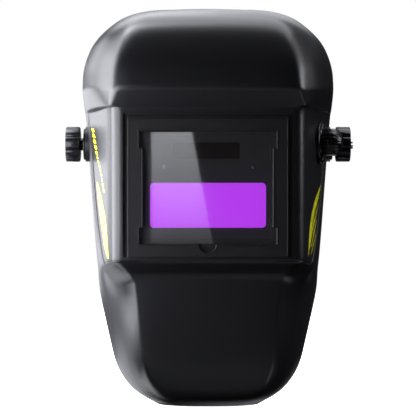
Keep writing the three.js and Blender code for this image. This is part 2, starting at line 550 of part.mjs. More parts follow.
// ---------------------------------------------------------------- pivots
const PLATE_X = { inner: 90, outer: 93 };            // side plates of the headgear
const LIMITER = { x0: 93.3, x1: 95.1, r: 12 };
const WASHER = { x0: PIVOT_PAD_OUT + GAP, x1: PIVOT_PAD_OUT + 1.7, r: 13 };
const KNOB = { x0: WASHER.x1 + GAP, grip: WASHER.x1 + 2.9, x1: WASHER.x1 + 14.9 };
for (const [side, s] of SIDES) {
  const boltEnd = KNOB.x1 + (side === 'left' ? 2.2 : -2);
  const head = rodX(6.5 * Math.SQRT2, s * (PLATE_X.inner - 4), s * (PLATE_X.inner - GAP), 0, 0, 4);
  const shank = rodX(PIVOT_BOLT_R, s * (PLATE_X.inner - 1), s * boltEnd, 0, 0, 16);
  const slot = box(Math.min(s * (boltEnd - 1.4), s * (boltEnd + 1)),
    Math.max(s * (boltEnd - 1.4), s * (boltEnd + 1)), -5, 5, -0.7, 0.7);
  add(helmet, `pivot_bolt_${side}`, cut(join(head, shank), slot), steel());

  // The limiter's tab stands just above the shell's peg, which carries the lowered mask.
  const arm = STOP_PEG.y + STOP_PEG.r;
  const low = STOP_PEG.r + GAP;
  const tab = prismX(polygon([[8, low], [arm, low], [arm, low + 5], [8, low + 5]]),
    s * LIMITER.x0, s * LIMITER.x1);
  const limiter = cut(join(rodX(LIMITER.r, s * LIMITER.x0, s * LIMITER.x1, 0, 0, 24), tab),
    rodX(PIVOT_BOLT_R + GAP, s * 88, s * 98, 0, 0, 16));
  add(helmet, `tilt_limiter_${side}`, limiter, matteBlack());

  const washer = cut(rodX(WASHER.r, s * WASHER.x0, s * WASHER.x1, 0, 0, 28),
    rodX(PIVOT_BOLT_R + GAP, s * 100, s * 106, 0, 0, 16));
  add(helmet, `pivot_washer_${side}`, washer, material(0x0f0f11, 0.5));

  const grip = prismX(gripOutline(KNOB_R, 8, 1.7), s * KNOB.grip, s * KNOB.x1);
  const neck = rodX(5.2, s * KNOB.x0, s * (KNOB.grip + 1), 0, 0, 20);
  const nutDepth = 6;
  const pocket = rodX(7.9, s * (KNOB.x1 - nutDepth), s * (KNOB.x1 + 1), 0, 0, 6);
  const bore = rodX(PIVOT_BOLT_R + GAP, s * 100, s * 125, 0, 0, 16);
  add(helmet, `tension_knob_${side}`, cut(join(grip, neck), pocket, bore), material(0x1b1b1e, 0.5));
  const insert = cut(
    rodX(7.5, s * (KNOB.x1 - nutDepth + GAP), s * (KNOB.x1 - 0.6), 0, 0, 6),
    rodX(PIVOT_BOLT_R + GAP, s * 100, s * 125, 0, 0, 16),
  );
  add(helmet, `knob_insert_${side}`, insert, steel());
}

// ---------------------------------------------------------------- headgear
// The headband lies in a plane that drops towards the nape; everything on it is made flat
// in a group that is tilted about the middle of the band.
const headband = new THREE.Group();
headband.position.set(0, BAND_CENTRE.y, BAND_CENTRE.z);
headband.rotation.x = -BAND_TILT;
headband.updateMatrix();
helmet.add(headband);
const pivotInBand = new THREE.Vector3(0, -BAND_CENTRE.y, -BAND_CENTRE.z)
  .applyAxisAngle(new THREE.Vector3(1, 0, 0), BAND_TILT);

// A strip along the band's ellipse, from one angle to another counted from the brow towards
// the wearer's left, lying between two offsets from the band's middle line.
function bandStrip(from, to, inner, outer, z0, z1, steps) {
  const points = [];
  const at = (offset, angle) => [(BAND.a + offset) * Math.sin(angle), -(BAND.b + offset) * Math.cos(angle)];
  for (let i = 0; i <= steps; i += 1) {
    points.push(at(outer, from + ((to - from) * i) / steps));
  }
  for (let i = steps; i >= 0; i -= 1) {
    points.push(at(inner, from + ((to - from) * i) / steps));
  }
  return prismZ(polygon(points), z0, z1);
}
const degrees = THREE.MathUtils.degToRad;
const SHANK_R = 2;                     // studs of the headgear
const halfT = BAND.t / 2;
const halfH = BAND.h / 2;
// The point, outward normal and forward-to-back tangent of the band at an angle.
function bandPlace(angle) {
  const at = new THREE.Vector3(BAND.a * Math.sin(angle), -BAND.b * Math.cos(angle), 0);
  const normal = new THREE.Vector3(BAND.b * Math.sin(angle), -BAND.a * Math.cos(angle), 0);
  normal.normalize();
  const back = new THREE.Vector3(-normal.y, normal.x, 0).multiplyScalar(Math.sign(angle));
  return { at, normal, back };
}
const UP = new THREE.Vector3(0, 1, 0);
const alongNormal = (g, angle, inside) => {
  const { at, normal } = bandPlace(angle);
  return g.applyQuaternion(new THREE.Quaternion().setFromUnitVectors(UP, normal))
    .translate(...at.addScaledVector(normal, inside).toArray());
};

// A stud through the band, square to it, with a domed head outside and a flat one inside.
function stud(angle, inside, outside, headR) {
  const length = outside - inside;
  const profile = [[0, 0], [headR, 0], [headR, 0.8], [SHANK_R, 0.8],
    [SHANK_R, length - 1.2], [headR, length - 1.2], [headR * 0.8, length], [0, length]];
  const g = new THREE.LatheGeometry(profile.map(([r, h]) => new THREE.Vector2(r, h)), 10);
  return alongNormal(g, angle, inside);
}
const studHole = (angle) =>
  alongNormal(new THREE.CylinderGeometry(SHANK_R + GAP, SHANK_R + GAP, 24, 10), angle, 0);

const FRONT_END = degrees(122);        // the front band reaches round behind the ears
const JOINT_ANGLE = degrees(116);      // where the rear bands are studded to it
const RACK_END = degrees(174);         // the rear bands end in the ratchet
const STRAP_ANGLE = degrees(84.1);     // where the crown strap is studded
const PLATE_FEET = [-27, 27].map((offset) => pivotInBand.y + offset);
const footAngle = (y) => Math.acos(-y / BAND.b);
const feet = PLATE_FEET.map(footAngle);
{
  const holes = SIDES.flatMap(([, s]) => [...feet, JOINT_ANGLE, STRAP_ANGLE]
    .map((angle) => studHole(s * angle)));
  const band = cut(bandStrip(-FRONT_END, FRONT_END, -halfT, halfT, -halfH, halfH, 44), ...holes);
  add(headband, 'front_band', band, bandGrey());
}

// The rear bands start inside the front band, studded to it, and end in the ratchet.
for (const [side, s] of SIDES) {
  const offset = -(BAND.t + 1.5 * GAP);
  const start = s * degrees(110);
  const rack = plateY(roundedRect(26, 9, 4), 85, 110, s * 23, 0, 2);
  const rear = cut(
    bandStrip(start, s * RACK_END, offset - halfT, offset + halfT, -halfH + 3, halfH - 3, 14),
    studHole(s * JOINT_ANGLE), rack,
  );
  add(headband, `rear_band_${side}`, rear, bandGrey());
  add(headband, `rear_band_stud_${side}`,
    stud(s * JOINT_ANGLE, offset - halfT - GAP - 0.8, halfT + GAP + 1.2, 4.5), bandGrey());
}

// Side plates: flared brackets from the band out to the pivots.
for (const [side, s] of SIDES) {
  const t = PLATE_X.outer - PLATE_X.inner;
  const foot = (y, alongs, out) => alongs.map((along) => {
    const { at, normal, back } = bandPlace(footAngle(y));
    return at.addScaledVector(normal, halfT + GAP + out).addScaledVector(back, along);
  });
  const [front, rear] = PLATE_FEET;
  const face = (out) => [
    ...foot(front, [-7, 5], out),
    new THREE.Vector3(PLATE_X.inner + (out ? t : 0), pivotInBand.y - 11, 0),
    new THREE.Vector3(PLATE_X.inner + (out ? t : 0), pivotInBand.y + 11, 0),
    ...foot(rear, [-5, 7], out),
  ];
  const outline = [...face(0), ...face(2.4).reverse()].map((p) => [s * p.x, p.y]);
  const plate = prismZ(polygon(outline), pivotInBand.z - 13, pivotInBand.z + 13);
  const boltHole = rodX(PIVOT_BOLT_R + GAP, s * 80, s * 100, pivotInBand.y, pivotInBand.z, 20);
  const feetHoles = feet.map((angle) => studHole(s * angle));
  add(headband, `side_plate_${side}`, cut(plate, boltHole, ...feetHoles), matteBlack());
  for (const [place, angle] of [['front', feet[0]], ['rear', feet[1]]]) {
    const pin = stud(s * angle, -halfT - GAP - 0.8, halfT + 2 * GAP + 2.4 + 1.2, 3.6);
    add(headband, `side_plate_stud_${place}_${side}`, pin, steel());
  }
}

// ---------------------------------------------------------------- crown strap
// Two arched straps rise from the band and overlap on top, pegged together there.
const CROWN = { y: 10, a: 75.2, top: 92, w: 22, t: 1.6, overlap: 30 };
for (const [side, s] of SIDES) {
  const offset = s * (CROWN.t / 2 + GAP / 2);          // the left strap lies over the right
  const foot = degrees(-7);
  const last = Math.PI / 2 + Math.asin(CROWN.overlap / CROWN.a);
  const at = (extra, angle) => [
    s * (CROWN.a + offset + extra) * Math.cos(angle), (CROWN.top + offset + extra) * Math.sin(angle)];
  const steps = 18;
  const points = [];
  for (let i = 0; i <= steps; i += 1) {
    points.push(at(CROWN.t / 2, foot + ((last - foot) * i) / steps));
  }
  for (let i = steps; i >= 0; i -= 1) {
    points.push(at(-CROWN.t / 2, foot + ((last - foot) * i) / steps));
  }
  const y0 = CROWN.y - CROWN.w / 2;
  const strap = plateY(polygon(points), y0, y0 + CROWN.w);
  const pegHoles = [-18, 0, 18].map((x) =>
    new THREE.CylinderGeometry(2.6, 2.6, 16, 10).rotateX(Math.PI / 2).translate(x, CROWN.y, CROWN.top));
  const sideHole = studHole(s * STRAP_ANGLE).applyMatrix4(headband.matrix);
  add(helmet, `crown_strap_${side}`, cut(strap, ...pegHoles, sideHole), bandGrey());
}

for (const [side, s] of SIDES) {
  const strapIn = CROWN.a + s * (CROWN.t / 2 + GAP / 2) - CROWN.t / 2;
  const inside = strapIn - BAND.a * Math.sin(STRAP_ANGLE) - 2 * GAP - 1;
  add(headband, `crown_strap_stud_${side}`,
    stud(s * STRAP_ANGLE, inside, halfT + GAP + 1.2, 4), bandGrey());
}
{
  const top = CROWN.top + CROWN.t + GAP;
  const low = CROWN.top - CROWN.t - GAP;
  const profile = [[0, low - 1.2], [4.5, low - 1.2], [4.5, low - 0.4], [2.2, low - 0.4],
    [2.2, top + 0.1], [5, top + 0.1], [4.2, top + 1.3], [0, top + 1.3]];
  const peg = new THREE.LatheGeometry(profile.map(([r, h]) => new THREE.Vector2(r, h)), 16);
  add(helmet, 'crown_peg', peg.rotateX(Math.PI / 2).translate(0, CROWN.y, 0), bandGrey());
}

// ---------------------------------------------------------------- ratchet at the nape
const RATCHET = { span: 0.5, h: 32, rail: 11, inner: -5.3, outer: 6.5, bossY: 109.5 };
const PINION_R = 7;
{
  const [from, to] = [Math.PI - RATCHET.span, Math.PI + RATCHET.span];
  const half = RATCHET.h / 2;
  const bandIn = -(BAND.t + 1.5 * GAP) - halfT;         // the rear bands' inner and outer faces
  const bandOut = -1.5 * GAP - halfT;
  const inner = bandStrip(from, to, RATCHET.inner, bandIn - GAP - 0.1, -half, half, 18);
  add(headband, 'ratchet_inner_cover', inner, matteBlack());
  const rails = [[-half, -RATCHET.rail], [RATCHET.rail, half]].map(([z0, z1]) =>
    bandStrip(from, to, bandIn + GAP, bandOut + GAP + 1, z0, z1, 18));
  const cover = cut(
    join(bandStrip(from, to, bandOut + GAP + 0.1, RATCHET.outer, -half, half, 18),
      ...rails, rodY(15, BAND.b, RATCHET.bossY, 0, 0, 24)),
    rodY(11, 90, 105, 0, 0, 20),
    rodY(3.3, 90, 120, 0, 0, 16),
  );
  add(headband, 'ratchet_outer_cover', cover, matteBlack());
  const detent = cut(rodY(10.4, 102.4, 104.4, 0, 0, 20), rodY(PINION_R + 0.5, 100, 106, 0, 0, 20));
  add(headband, 'ratchet_detent', detent, steel());
  const pinion = join(
    plateY(gripOutline(PINION_R, 10, 1.6, 4), 98.4, 104.6),
    rodY(3, 104, RATCHET.bossY + 6, 0, 0, 16),
  );
  add(headband, 'ratchet_pinion', pinion, bandGrey());
  const grip = RATCHET.bossY + GAP;
  const knob = cut(plateY(gripOutline(14.5, 10, 1.8), grip, grip + 12),
    rodY(3.3, 100, RATCHET.bossY + 6.4, 0, 0, 16));
  add(headband, 'ratchet_knob', knob, material(0x1b1b1e, 0.5));
  const nape = bandStrip(Math.PI - 0.4, Math.PI + 0.4, RATCHET.inner - 6, RATCHET.inner - GAP,
    -half, half, 14);
  add(headband, 'nape_pad', nape, material(0x2c2c30, 0.9));
}

// ---------------------------------------------------------------- brow sweatband
{
  const reach = degrees(56);
  const pad = bandStrip(-reach, reach, -8, -halfT - GAP, -halfH - 2, halfH + 2, 20);
  add(headband, 'sweatband', pad, material(0x26262a, 0.95));
}

export default helmet;
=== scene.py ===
"""Welding helmet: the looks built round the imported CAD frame. Metres, +Z up, -Y is the front."""

import json
import math

import bmesh
import bpy
import numpy as np
from mathutils import Matrix, Vector


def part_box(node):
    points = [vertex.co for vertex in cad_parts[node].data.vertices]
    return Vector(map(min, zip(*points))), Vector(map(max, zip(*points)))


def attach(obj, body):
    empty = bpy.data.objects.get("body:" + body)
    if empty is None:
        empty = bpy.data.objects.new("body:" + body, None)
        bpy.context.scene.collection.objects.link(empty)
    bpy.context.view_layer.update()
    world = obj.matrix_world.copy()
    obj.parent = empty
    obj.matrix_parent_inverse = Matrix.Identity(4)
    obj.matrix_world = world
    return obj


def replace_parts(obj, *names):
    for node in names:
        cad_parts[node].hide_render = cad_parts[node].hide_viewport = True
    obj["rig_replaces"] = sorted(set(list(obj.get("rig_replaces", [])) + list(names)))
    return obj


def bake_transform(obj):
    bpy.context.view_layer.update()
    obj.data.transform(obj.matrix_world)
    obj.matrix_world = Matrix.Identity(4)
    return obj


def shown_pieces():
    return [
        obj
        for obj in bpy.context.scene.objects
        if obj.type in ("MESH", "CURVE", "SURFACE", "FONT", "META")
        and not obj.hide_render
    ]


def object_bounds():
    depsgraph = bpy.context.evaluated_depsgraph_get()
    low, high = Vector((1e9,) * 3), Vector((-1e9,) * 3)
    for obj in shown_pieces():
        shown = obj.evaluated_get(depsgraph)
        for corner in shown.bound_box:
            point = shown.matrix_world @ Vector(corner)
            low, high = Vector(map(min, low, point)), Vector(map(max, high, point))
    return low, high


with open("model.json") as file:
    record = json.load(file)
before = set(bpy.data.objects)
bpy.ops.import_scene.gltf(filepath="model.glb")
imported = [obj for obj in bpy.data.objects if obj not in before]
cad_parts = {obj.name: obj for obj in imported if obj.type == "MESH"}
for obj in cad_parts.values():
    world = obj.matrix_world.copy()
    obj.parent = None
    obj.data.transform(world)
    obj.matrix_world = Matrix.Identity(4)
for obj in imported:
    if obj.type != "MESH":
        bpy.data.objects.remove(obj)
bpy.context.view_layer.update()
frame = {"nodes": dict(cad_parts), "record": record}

MM = 0.001
SIDES = (("right", -1), ("left", 1))      # the wearer's right and left

# ------------------------------------------------------------------ materials
VARIES = (0.3, 0.7)      # most of a noise's values lie between these


class Nodes:
    """A material's node tree, with short ways to add and link nodes."""

    def __init__(self, name):
        self.material = bpy.data.materials.new(name)
        self.material.use_nodes = True
        self.tree = self.material.node_tree
        self.shader = self.tree.nodes["Principled BSDF"]

    def surface(self, shader):
        """Makes another shader the material's surface."""
        out = next(node for node in self.tree.nodes if node.type == "OUTPUT_MATERIAL")
        self.tree.links.new(shader.outputs[0], out.inputs["Surface"])

    def add(self, kind, inputs=None, **settings):
        node = self.tree.nodes.new(kind)
        for key, value in settings.items():
            setattr(node, key, value)
        for key, value in (inputs or {}).items():
            if isinstance(value, bpy.types.NodeSocket):
                self.tree.links.new(value, node.inputs[key])
            else:
                node.inputs[key].default_value = value
        return node

    def link(self, socket, name):
        self.tree.links.new(socket, self.shader.inputs[name])

    def position(self):
        return self.add("ShaderNodeTexCoord").outputs["Object"]

    def noise(self, scale, detail=2.0, vector=None):
        inputs = {"Scale": scale, "Detail": detail, "Roughness": 0.5, "Vector": vector or self.position()}
        return self.add("ShaderNodeTexNoise", inputs).outputs["Fac"]

    def span(self, value, low, high, out_low, out_high):
        inputs = {"Value": value, "From Min": low, "From Max": high, "To Min": out_low, "To Max": out_high}
        return self.add("ShaderNodeMapRange", inputs).outputs["Result"]

    def blend(self, factor, a, b):
        node = self.add("ShaderNodeMix", data_type="RGBA")
        for name, value in (("Factor_Float", factor), ("A_Color", a), ("B_Color", b)):
            socket = next(s for s in node.inputs if s.identifier == name)
            if isinstance(value, bpy.types.NodeSocket):
                self.tree.links.new(value, socket)
            else:
                socket.default_value = value if name == "Factor_Float" else (*value, 1.0)
        return next(s for s in node.outputs if s.identifier == "Result_Color")

    def bump(self, height, distance, normal=None):
        inputs = {"Height": height, "Distance": distance, "Strength": 1.0}
        if normal:
            inputs["Normal"] = normal
        return self.add("ShaderNodeBump", inputs).outputs["Normal"]


def tone(colour, factor):
    return tuple(c * factor for c in colour)


MOTTLE, BRUSHING = 0.12, 0.25       # shares by which moulded colour and brushed gloss vary


def moulded(name, colour, roughness, grain=0.5, depth=0.02, specular=0.5):
    """Moulded plastic: a fine grain of that size and depth in millimetres, with faint mottling."""
    n = Nodes(name)
    broad = n.noise(35.0, 3.0)
    n.link(n.blend(broad, tone(colour, 1 - MOTTLE), tone(colour, 1 + MOTTLE)), "Base Color")
    smear = n.noise(90.0, 4.0)
    n.link(n.span(smear, *VARIES, roughness * 0.97, roughness * 1.03), "Roughness")
    fine = n.noise(1.0 / (grain * MM), 2.0)
    n.link(n.bump(fine, depth * MM), "Normal")
    n.shader.inputs["Specular IOR Level"].default_value = specular
    return n.material


def metal(name, colour, roughness):
    """Plated steel with a fine brushed break-up."""
    n = Nodes(name)
    stretched = n.add("ShaderNodeMapping", {"Vector": n.position(), "Scale": (1.0, 1.0, 12.0)})
    lines = n.noise(900.0, 3.0, stretched.outputs["Vector"])
    n.link(n.blend(lines, tone(colour, 0.8), colour), "Base Color")
    n.link(n.span(lines, *VARIES, roughness * (1 - BRUSHING), roughness * (1 + BRUSHING)), "Roughness")
    n.link(n.bump(lines, 0.01 * MM), "Normal")
    n.shader.inputs["Metallic"].default_value = 1.0
    return n.material


def paint(name, colour, roughness):
    """A printed mark: flat colour, a little worn and uneven."""
    n = Nodes(name)
    wear = n.noise(400.0, 4.0)
    n.link(n.blend(n.span(wear, 0.62, 0.72, 0.0, 0.25), colour, tone(colour, 0.45)), "Base Color")
    n.link(n.span(n.noise(120.0), *VARIES, roughness * 0.8, roughness * 1.2), "Roughness")
    n.link(n.bump(wear, 0.01 * MM), "Normal")
    return n.material


def clear_lens(name, tint):
    """Clear polycarbonate: mostly see-through, with the surface gloss of a real sheet."""
    n = Nodes(name)
    haze = n.noise(220.0, 3.0)
    see = n.add("ShaderNodeBsdfTransparent", {"Color": (*tint, 1.0)})
    polish = n.span(haze, *VARIES, 0.01, 0.03)
    gloss = n.add("ShaderNodeBsdfGlossy", {"Color": (1.0, 1.0, 1.0, 1.0), "Roughness": polish})
    fresnel = n.add("ShaderNodeFresnel", {"IOR": 1.5})
    mix = n.add("ShaderNodeMixShader", {0: fresnel.outputs[0], 1: see.outputs[0], 2: gloss.outputs[0]})
    n.surface(mix)
    return n.material


def purple_filter_painted_glow():
    """Interference filter: saturated purple with a smooth glass face, and a painted glow: its emission stands
    in for the purple light its coating reflects.
    """
    n = Nodes("purple_filter_painted_glow")
    cloud = n.noise(14.0, 2.0)
    colour = n.blend(cloud, (0.42, 0.040, 0.72), (0.46, 0.055, 0.76))
    n.link(colour, "Base Color")
    # Painted glow: the filter's own purple is emitted in place of the light that its coating reflects.
    n.link(colour, "Emission Color")
    n.shader.inputs["Emission Strength"].default_value = 1.0
    n.link(n.span(n.noise(300.0), *VARIES, 0.05, 0.09), "Roughness")
    return n.material


CELL_WIDTH = 8.0 * MM


def solar_film():
    """Thin-film solar cell: dark red-brown, cut into upright cells by very fine lines."""
    n = Nodes("solar_film")
    spot = n.add("ShaderNodeSeparateXYZ", {"Vector": n.position()})
    cells = n.add("ShaderNodeMath", {0: spot.outputs["X"], 1: 1.0 / CELL_WIDTH}, operation="MULTIPLY")
    part = n.add("ShaderNodeMath", {0: cells.outputs[0]}, operation="FRACT")
    line = n.span(part.outputs[0], 0.0, 0.03, 0.5, 0.0)
    body = n.blend(n.noise(160.0), (0.050, 0.027, 0.026), (0.060, 0.034, 0.032))
    n.link(n.blend(line, body, (0.070, 0.045, 0.040)), "Base Color")
    n.link(n.span(n.noise(500.0), *VARIES, 0.40, 0.48), "Roughness")
    return n.material


def towelling(name, colour):
    """Soft looped fabric over foam."""
    n = Nodes(name)
    fibre = n.noise(1500.0, 4.0)
    loops = n.add("ShaderNodeTexVoronoi", {"Vector": n.position(), "Scale": 650.0}).outputs["Distance"]
    n.link(n.blend(loops, tone(colour, 1.5), tone(colour, 0.6)), "Base Color")
    n.link(n.span(fibre, *VARIES, 0.85, 1.0), "Roughness")
    coarse = n.bump(loops, 0.35 * MM)
    n.link(n.bump(fibre, 0.08 * MM, normal=coarse), "Normal")
    n.shader.inputs["Sheen Weight"].default_value = 0.35
    n.shader.inputs["Sheen Roughness"].default_value = 0.5
    return n.material


def board_green():
    """Solder mask with faint copper traces under it."""
    n = Nodes("board_green")
    traces = n.add("ShaderNodeTexBrick", {"Vector": n.position(), "Scale": 160.0, "Mortar Size": 0.06})
    n.link(n.blend(traces.outputs["Fac"], (0.012, 0.09, 0.035), (0.05, 0.22, 0.08)), "Base Color")
    n.link(n.bump(traces.outputs["Fac"], 0.03 * MM), "Normal")
    n.shader.inputs["Roughness"].default_value = 0.35
    return n.material


BLACK = (0.0085, 0.0085, 0.0105)
SHELL = moulded("shell_black", BLACK, 0.33, grain=1.1, depth=0.08)
FRAME = moulded("frame_satin", (0.013, 0.0125, 0.0145), 0.36, grain=0.9, depth=0.03)
CARTRIDGE = moulded("cartridge_grey", (0.16, 0.15, 0.17), 0.40, grain=0.35, depth=0.015)
KNOB = moulded("knob_satin", (0.012, 0.012, 0.014), 0.42, grain=0.4, depth=0.02, specular=0.35)
GLOSS_KNOB = moulded("knob_gloss", (0.006, 0.006, 0.008), 0.24, grain=0.4, depth=0.008, specular=0.35)
BANDS = moulded("band_polyethylene", (0.028, 0.028, 0.032), 0.46, grain=0.6, depth=0.02)
STEEL = metal("zinc_steel", (0.52, 0.52, 0.54), 0.32)
CLEAR = clear_lens("clear_cover", (0.97, 0.98, 0.98))
PURPLE_PAINTED_GLOW = purple_filter_painted_glow()
SOLAR = solar_film()
# Arc sensor beads: glossy clear plastic whose light grey colour is partly a painted glint, so the small beads
# look bright.
SENSOR_PAINTED_GLINT = moulded("sensor_bead_painted_glint", (0.62, 0.62, 0.65), 0.10, grain=0.3, depth=0.002, specular=0.8)
BOARD = board_green()
LCD = moulded("lcd_stack", (0.05, 0.07, 0.055), 0.08, grain=2.0, depth=0.001)
GREY_SWITCH = moulded("switch_grey", (0.36, 0.36, 0.37), 0.45, grain=0.4, depth=0.015)
CABLE = moulded("cable_black", (0.012, 0.012, 0.013), 0.55, grain=0.4, depth=0.02)
TOWEL = towelling("sweatband_towelling", (0.030, 0.030, 0.036))
STITCH = moulded("stitch_thread", (0.10, 0.10, 0.11), 0.8, grain=0.15, depth=0.05)
YELLOW = paint("yellow_print", (0.90, 0.86, 0.02), 0.30)
WHITE_PRINT = paint("white_print", (0.75, 0.75, 0.75), 0.40)

# What each CAD node that stays is made of, by the start of its name. The first entry that fits
# counts, and a node that none fits is band plastic.
NODE_FINISH = {
    "front_frame": FRAME, "front_cover_lens": CLEAR, "cartridge_front_case": CARTRIDGE,
    "cartridge_back_case": CARTRIDGE, "cartridge_retainer": FRAME, "inner_cover_lens": CLEAR,
    "filter_glass": PURPLE_PAINTED_GLOW, "lcd_cell": LCD, "solar_panel": SOLAR, "arc_sensor": SENSOR_PAINTED_GLINT,
    "circuit_board": BOARD, "coin_cell": STEEL, "delay_slider": GREY_SWITCH,
    "retainer_clip": STEEL, "shade_potentiometer": STEEL, "shade_nut": STEEL, "shade_cable": CABLE,
    "pivot_bolt": STEEL, "tilt_limiter": KNOB, "knob_insert": STEEL, "ratchet_pinion": BANDS,
    "ratchet_detent": STEEL, "side_plate_stud": STEEL, "side_plate": KNOB, "ratchet": KNOB,
}


def finish_of(name):
    return next((NODE_FINISH[start] for start in NODE_FINISH if name.startswith(start)), BANDS)


# ------------------------------------------------------------------ mesh helpers


def add_object(name, data):
    made = bpy.data.objects.new(name, data)
    bpy.context.scene.collection.objects.link(made)
    return made


def mesh_object(name, points, faces, materials=()):
    mesh = bpy.data.meshes.new(name)
    mesh.from_pydata([tuple(p) for p in points], [], [tuple(f) for f in faces])
    for material in materials:
        mesh.materials.append(material)
    mesh.validate()
    return add_object(name, mesh)


def face_outwards(piece, merge=None):
    """Turns every face of a piece outwards, once points within a distance are merged."""
    work = bmesh.new()
    work.from_mesh(piece.data)
    if merge:
        bmesh.ops.remove_doubles(work, verts=work.verts, dist=merge)
    bmesh.ops.recalc_face_normals(work, faces=work.faces)
    work.to_mesh(piece.data)
    work.free()
    return piece


def loop_faces(loops, count, closed=False):
    """The faces between loops of points, all with the same count. A closed run of loops has its
    last one joined to its first."""
    faces = []
    for k in range(loops if closed else loops - 1):
        a, b = k * count, (k + 1) % loops * count
        for i in range(count):
            j = (i + 1) % count
            faces.append((a + i, a + j, b + j, b + i))
    return faces


def strip(name, points, count):
    """A solid strip made of loops of points, with a flat face at each end."""
    last = len(points) - count
    ends = [tuple(range(count)), tuple(last + k for k in range(count))[::-1]]
    return face_outwards(mesh_object(name, points, loop_faces(len(points) // count, count) + ends))


def smooth(piece, angle=35.0):
    """Smooth shading, with edges sharper than the angle kept crisp."""
    work = bmesh.new()
    work.from_mesh(piece.data)
    limit = math.radians(angle)
    for face in work.faces:
        face.smooth = True
    for edge in work.edges:
        edge.smooth = len(edge.link_faces) == 2 and edge.calc_face_angle(0.0) < limit
    work.to_mesh(piece.data)
    work.free()


def modify(piece, kind, **settings):
    modifier = piece.modifiers.new(kind.lower(), kind)
    for key, value in settings.items():
        setattr(modifier, key, value)
    return modifier


def apply_modifiers(piece):
    depsgraph = bpy.context.evaluated_depsgraph_get()
    made = bpy.data.meshes.new_from_object(piece.evaluated_get(depsgraph))
    piece.modifiers.clear()
    piece.data = made


def boolean(piece, tool, operation):
    modify(piece, "BOOLEAN", object=tool, operation=operation, solver="MANIFOLD")
    apply_modifiers(piece)
    bpy.data.objects.remove(tool)


def prism(outline, low, high):
    """A closed prism: the outline lies in XY, from z low to z high."""
    count = len(outline)
    points = [(x, y, low) for x, y in outline] + [(x, y, high) for x, y in outline]
    sides = [(i, (i + 1) % count, count + (i + 1) % count, count + i) for i in range(count)]
    faces = [*sides, tuple(range(count))[::-1], tuple(range(count, 2 * count))]
    return mesh_object("tool", points, faces)


def circle(radius, count=48):
    steps = [2 * math.pi * i / count for i in range(count)]
    return [(radius * math.cos(a), radius * math.sin(a)) for a in steps]


def place(piece, matrix):
    piece.data.transform(matrix)
    return piece


def along(direction, origin=(0, 0, 0)):
    """The matrix that turns +Z to a direction and moves the origin."""
    turn = Vector(direction).to_track_quat("Z", "Y").to_matrix().to_4x4()
    return Matrix.Translation(Vector(origin)) @ turn


def finish_piece(piece, body, node=None, material=None, angle=35.0):
    """Gives a piece its material and shading, its body, and the CAD node that it replaces."""
    if material:
        piece.data.materials.clear()
        piece.data.materials.append(material)
    smooth(piece, angle)
    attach(piece, body)
    if node:
        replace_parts(piece, node)
    return piece


JOINTS = {joint["name"]: joint for joint in frame["record"]["behaviour"]["joints"]}

